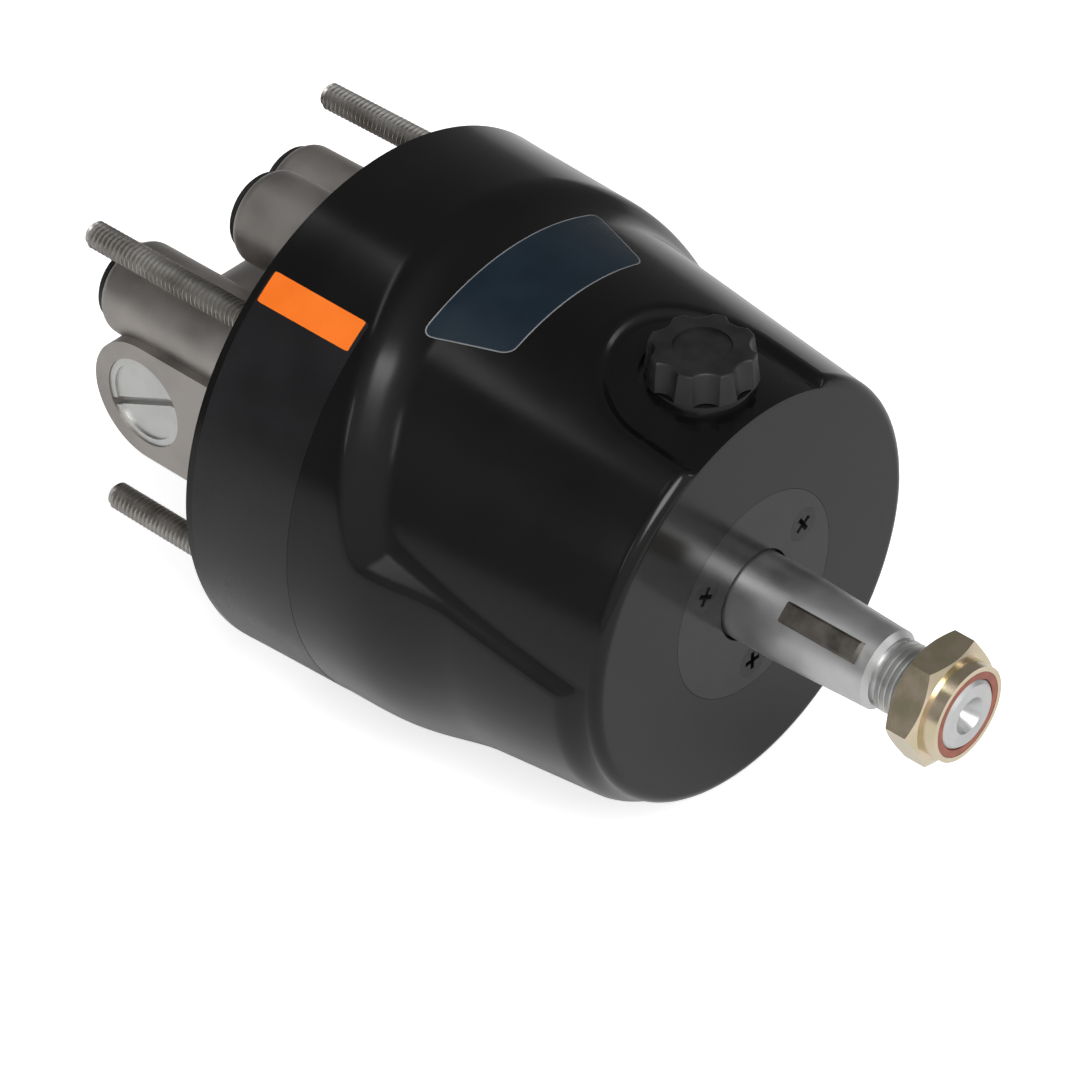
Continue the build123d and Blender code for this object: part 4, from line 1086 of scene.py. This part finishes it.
@dataclass
class Film:
    """A thin print that follows the casting: a rounded rectangle in angle and Y.

    Args:
        name: the piece's name.
        angles: first and last angle, in degrees.
        span: front and rear Y.
        corner: radius of its corners.
        lift: height over the skin.
        finish: its finish.
        inset: how far it stays inside the rectangle.
        flare: share by which its rear edge is longer, and its front edge shorter, than the middle.
        step: size of its quads.
        least: the fewest columns and rows.
    """

    name: str
    angles: tuple[float, float]
    span: tuple[float, float]
    corner: float
    lift: float
    finish: Finish
    inset: float = 0.0
    flare: float = 0.0
    step: float = 0.9
    least: tuple[int, int] = (16, 10)

    def sheet(self, casting: HousingCasting) -> Sheet:
        """Grid over the rectangle whose corners are drawn in onto arcs; the flare makes its rear edge longer.

        A point past both corner lines keeps its direction from the arc's centre, and its larger
        distance becomes its radius: q' = q max(q) / |q|.

        Args:
            casting: the casting that it lies on.

        Returns:
            The open sheet.
        """
        mid_y, mid_a = sum(self.span) / 2, math.radians(sum(self.angles) / 2)
        radius = float(casting.nose(np.array(mid_y)))
        half_y = (self.span[1] - self.span[0]) / 2 - self.inset
        half_s = math.radians(self.angles[1] - self.angles[0]) / 2 * radius - self.inset
        u = np.linspace(-half_s, half_s, max(int(half_s * 2 / self.step), self.least[0]))
        v = np.linspace(-half_y, half_y, max(int(half_y * 2 / self.step), self.least[1]))
        s, y = np.meshgrid(u, v)
        past_s = np.abs(s) - (half_s - self.corner)
        past_y = np.abs(y) - (half_y - self.corner)
        far = np.hypot(past_s, past_y)
        both = (past_s > 0) & (past_y > 0)
        shrink = np.where(both, np.maximum(past_s, past_y) / np.maximum(far, TINY), 1.0)
        s = np.where(both, np.sign(s) * (half_s - self.corner + past_s * shrink), s)
        y = np.where(both, np.sign(y) * (half_y - self.corner + past_y * shrink), y)
        s = s * (1 + self.flare * y / half_y)
        angle, y = mid_a + s / radius, mid_y + y
        return Sheet(casting.wrap(casting.skin(angle, y) + self.lift, angle, y))

    def make(self, shop: PaintShop, casting: HousingCasting) -> None:
        """Build the film on the casting.

        Args:
            shop: the paint shop.
            casting: the casting that it lies on.
        """
        piece = build(self.name, [self.sheet(casting)])
        shop.dress(piece, self.finish)
        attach(piece, Body.PUMP.value)
        log.info("%s: %d faces", self.name, len(piece.data.polygons))


@dataclass
class Studio:
    """Camera, floor and soft light. Places are in metres, angles in degrees, powers in watts."""

    place: tuple[float, float, float] = (-0.5519, -0.5565, 0.5967)
    azimuth: float = -47.118
    elevation: float = 39.235
    roll: float = -0.584
    lens: float = 150.0
    sensor: float = 36.0
    clip: tuple[float, float] = (0.05, 20.0)
    # The floor, and how bright the camera and mirrors see it beside its light.
    floor_z: float = -0.0622
    floor_side: float = 6.0
    floor_colour: tuple[float, float, float, float] = (0.86, 0.86, 0.86, 1)
    floor_roughness: float = 0.9
    seen_glow: float = 0.7
    mirrored_glow: float = 0.1
    # The sky: its pale side, between which shares of the way there it brightens, and from what to what.
    pale_side: tuple[float, float, float] = (-0.5, -0.85, 0.15)
    pale_limits: tuple[float, float] = (-0.05, 0.7)
    pale_levels: tuple[float, float] = (0.2, 0.75)
    # The lamps: name, place, width, height and power, all turned to the point aim.
    aim: tuple[float, float, float] = (0.0, -0.05, 0.0)
    lamps: tuple[tuple[str, tuple[float, float, float], float, float, float], ...] = (
        ("front_softbox", (-0.5, -0.83, 1.15), 0.75, 0.75, 15.0),
        ("rim_card", (0.62, -0.7, 0.56), 0.5, 0.1, 0.7),
        ("top_strip", (-0.18, 0.36, 0.92), 0.5, 0.07, 0.3),
        ("flank_strip", (-0.9, 0.11, 0.64), 0.04, 0.3, 0.3),
    )

    def camera(self) -> None:
        """Place the camera at the photograph's view."""
        a, e, r = (math.radians(value) for value in (self.azimuth, self.elevation, self.roll))
        right = Vector((math.cos(a), math.sin(a), 0))
        up = Vector((-math.sin(a) * math.sin(e), math.cos(a) * math.sin(e), math.cos(e)))
        back = Vector((math.sin(a) * math.cos(e), -math.cos(a) * math.cos(e), math.sin(e)))
        turned_right = right * math.cos(r) + up * math.sin(r)
        turned_up = up * math.cos(r) - right * math.sin(r)
        data = bpy.data.cameras.new("camera")
        data.lens, data.sensor_width = self.lens, self.sensor
        data.clip_start, data.clip_end = self.clip
        camera = bpy.data.objects.new("camera", data)
        matrix = Matrix((turned_right, turned_up, back)).transposed().to_4x4()
        matrix.translation = Vector(self.place)
        camera.matrix_world = matrix
        bpy.context.scene.collection.objects.link(camera)
        bpy.context.scene.camera = camera

    def floor(self) -> None:
        """A wide pale floor with the object's shadow, which the camera and mirror rays see nearly white."""
        side, z = self.floor_side, self.floor_z
        mesh = bpy.data.meshes.new("floor")
        corners = [(-side, -side, z), (side, -side, z), (side, side, z), (-side, side, z)]
        mesh.from_pydata(corners, [], [(0, 1, 2, 3)])
        floor = bpy.data.objects.new("floor", mesh)
        bpy.context.scene.collection.objects.link(floor)
        paint = bpy.data.materials.new("floor_paint")
        paint.use_nodes = True
        nodes, links = paint.node_tree.nodes, paint.node_tree.links
        shader, rays = nodes["Principled BSDF"], nodes.new("ShaderNodeLightPath")
        shader.inputs["Base Color"].default_value = self.floor_colour
        shader.inputs["Roughness"].default_value = self.floor_roughness
        shader.inputs["Specular IOR Level"].default_value = 0.0
        seen = math_node(nodes, "MULTIPLY_ADD", 1, self.seen_glow)
        mirrored = math_node(nodes, "MAXIMUM")
        level = math_node(nodes, "MULTIPLY", 1, self.mirrored_glow)
        links.new(rays.outputs["Is Glossy Ray"], mirrored.inputs[0])
        links.new(rays.outputs["Is Transmission Ray"], mirrored.inputs[1])
        links.new(rays.outputs["Is Camera Ray"], seen.inputs[0])
        links.new(level.outputs[0], seen.inputs[2])
        glow = nodes.new("ShaderNodeEmission")
        glow.inputs["Color"].default_value = (1, 1, 1, 1)
        add, out = nodes.new("ShaderNodeAddShader"), nodes["Material Output"]
        links.new(mirrored.outputs[0], level.inputs[0])
        links.new(seen.outputs[0], glow.inputs["Strength"])
        links.new(shader.outputs[0], add.inputs[0])
        links.new(glow.outputs[0], add.inputs[1])
        links.new(add.outputs[0], out.inputs["Surface"])
        mesh.materials.append(paint)

    def light(self) -> None:
        """Soft lamps and a sky that is pale in front of the pump and dim behind it."""
        for name, place, width, height, power in self.lamps:
            data = bpy.data.lights.new(name, "AREA")
            data.shape, data.size, data.size_y, data.energy = "RECTANGLE", width, height, power
            lamp = bpy.data.objects.new(name, data)
            lamp.location = place
            aim = Vector(self.aim) - Vector(place)
            lamp.rotation_euler = aim.to_track_quat("-Z", "Y").to_euler()
            bpy.context.scene.collection.objects.link(lamp)
        world = bpy.data.worlds.new("studio")
        world.use_nodes = True
        nodes, links = world.node_tree.nodes, world.node_tree.links
        where, facing = nodes.new("ShaderNodeTexCoord"), nodes.new("ShaderNodeVectorMath")
        facing.operation = "DOT_PRODUCT"
        facing.inputs[1].default_value = self.pale_side
        level = nodes.new("ShaderNodeMapRange")
        level.interpolation_type = "SMOOTHSTEP"
        limits = zip(("From Min", "From Max", "To Min", "To Max"), self.pale_limits + self.pale_levels)
        for name, value in limits:
            level.inputs[name].default_value = value
        links.new(where.outputs["Generated"], facing.inputs[0])
        links.new(facing.outputs["Value"], level.inputs["Value"])
        links.new(level.outputs["Result"], nodes["Background"].inputs["Color"])
        nodes["Background"].inputs["Strength"].default_value = 1.0
        bpy.context.scene.world = world
        bpy.context.scene.view_settings.view_transform = "Standard"

    def make(self) -> None:
        """Set up the whole studio."""
        self.camera()
        self.floor()
        self.light()


class HelmPump:
    """The whole pump: dressed solids and the pieces that stand in for them."""

    def __init__(self, nodes: dict[str, bpy.types.Object]) -> None:
        """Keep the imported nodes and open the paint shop."""
        self.nodes = nodes
        self.shop = PaintShop()
        self.casting = HousingCasting()

    def dress_nodes(self) -> None:
        """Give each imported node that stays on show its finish."""
        for finish, names in NODE_FINISHES.items():
            for name in names:
                self.shop.dress(self.nodes[name], finish)
                log.info("%s: %s", name, finish.name)

    def films(self) -> list[Film]:
        """The blank name plate and the side decal with its colour field.

        Returns:
            The four films, each rim or ground before what lies on it.
        """
        plate = ((66.6, 116.8), (-56.7, -37.7))
        return [
            Film("name_plate_rim", *plate, 2.4, 0.06, PLATE_RIM, 0.0, 0.13),
            Film("name_plate_film", *plate, 2.1, 0.1, PLATE_NAVY, 0.28, 0.13),
            Film("side_decal_film", (123.7, 236.0), (-28.6, -1.7), 0.8, 0.05, DECAL_DARK),
            Film("side_decal_field", (123.7, 130.5), (-27.6, -2.2), 0.4, 0.09, DECAL_ORANGE),
        ]

    def make(self) -> None:
        """Build everything in order."""
        self.dress_nodes()
        self.casting.make(self.shop, self.nodes["housing"])
        WheelShaft().make(self.shop, self.nodes["wheel_shaft"])
        DashStuds().make(self.shop)
        for film in self.films():
            film.make(self.shop, self.casting)


def main() -> None:
    """Build the pump and its studio."""
    logging.basicConfig(level=logging.INFO, format="%(name)s %(message)s")
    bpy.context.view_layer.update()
    HelmPump(frame["nodes"]).make()
    Studio().make()
    bpy.context.view_layer.update()


if __name__ == "__main__":
    main()
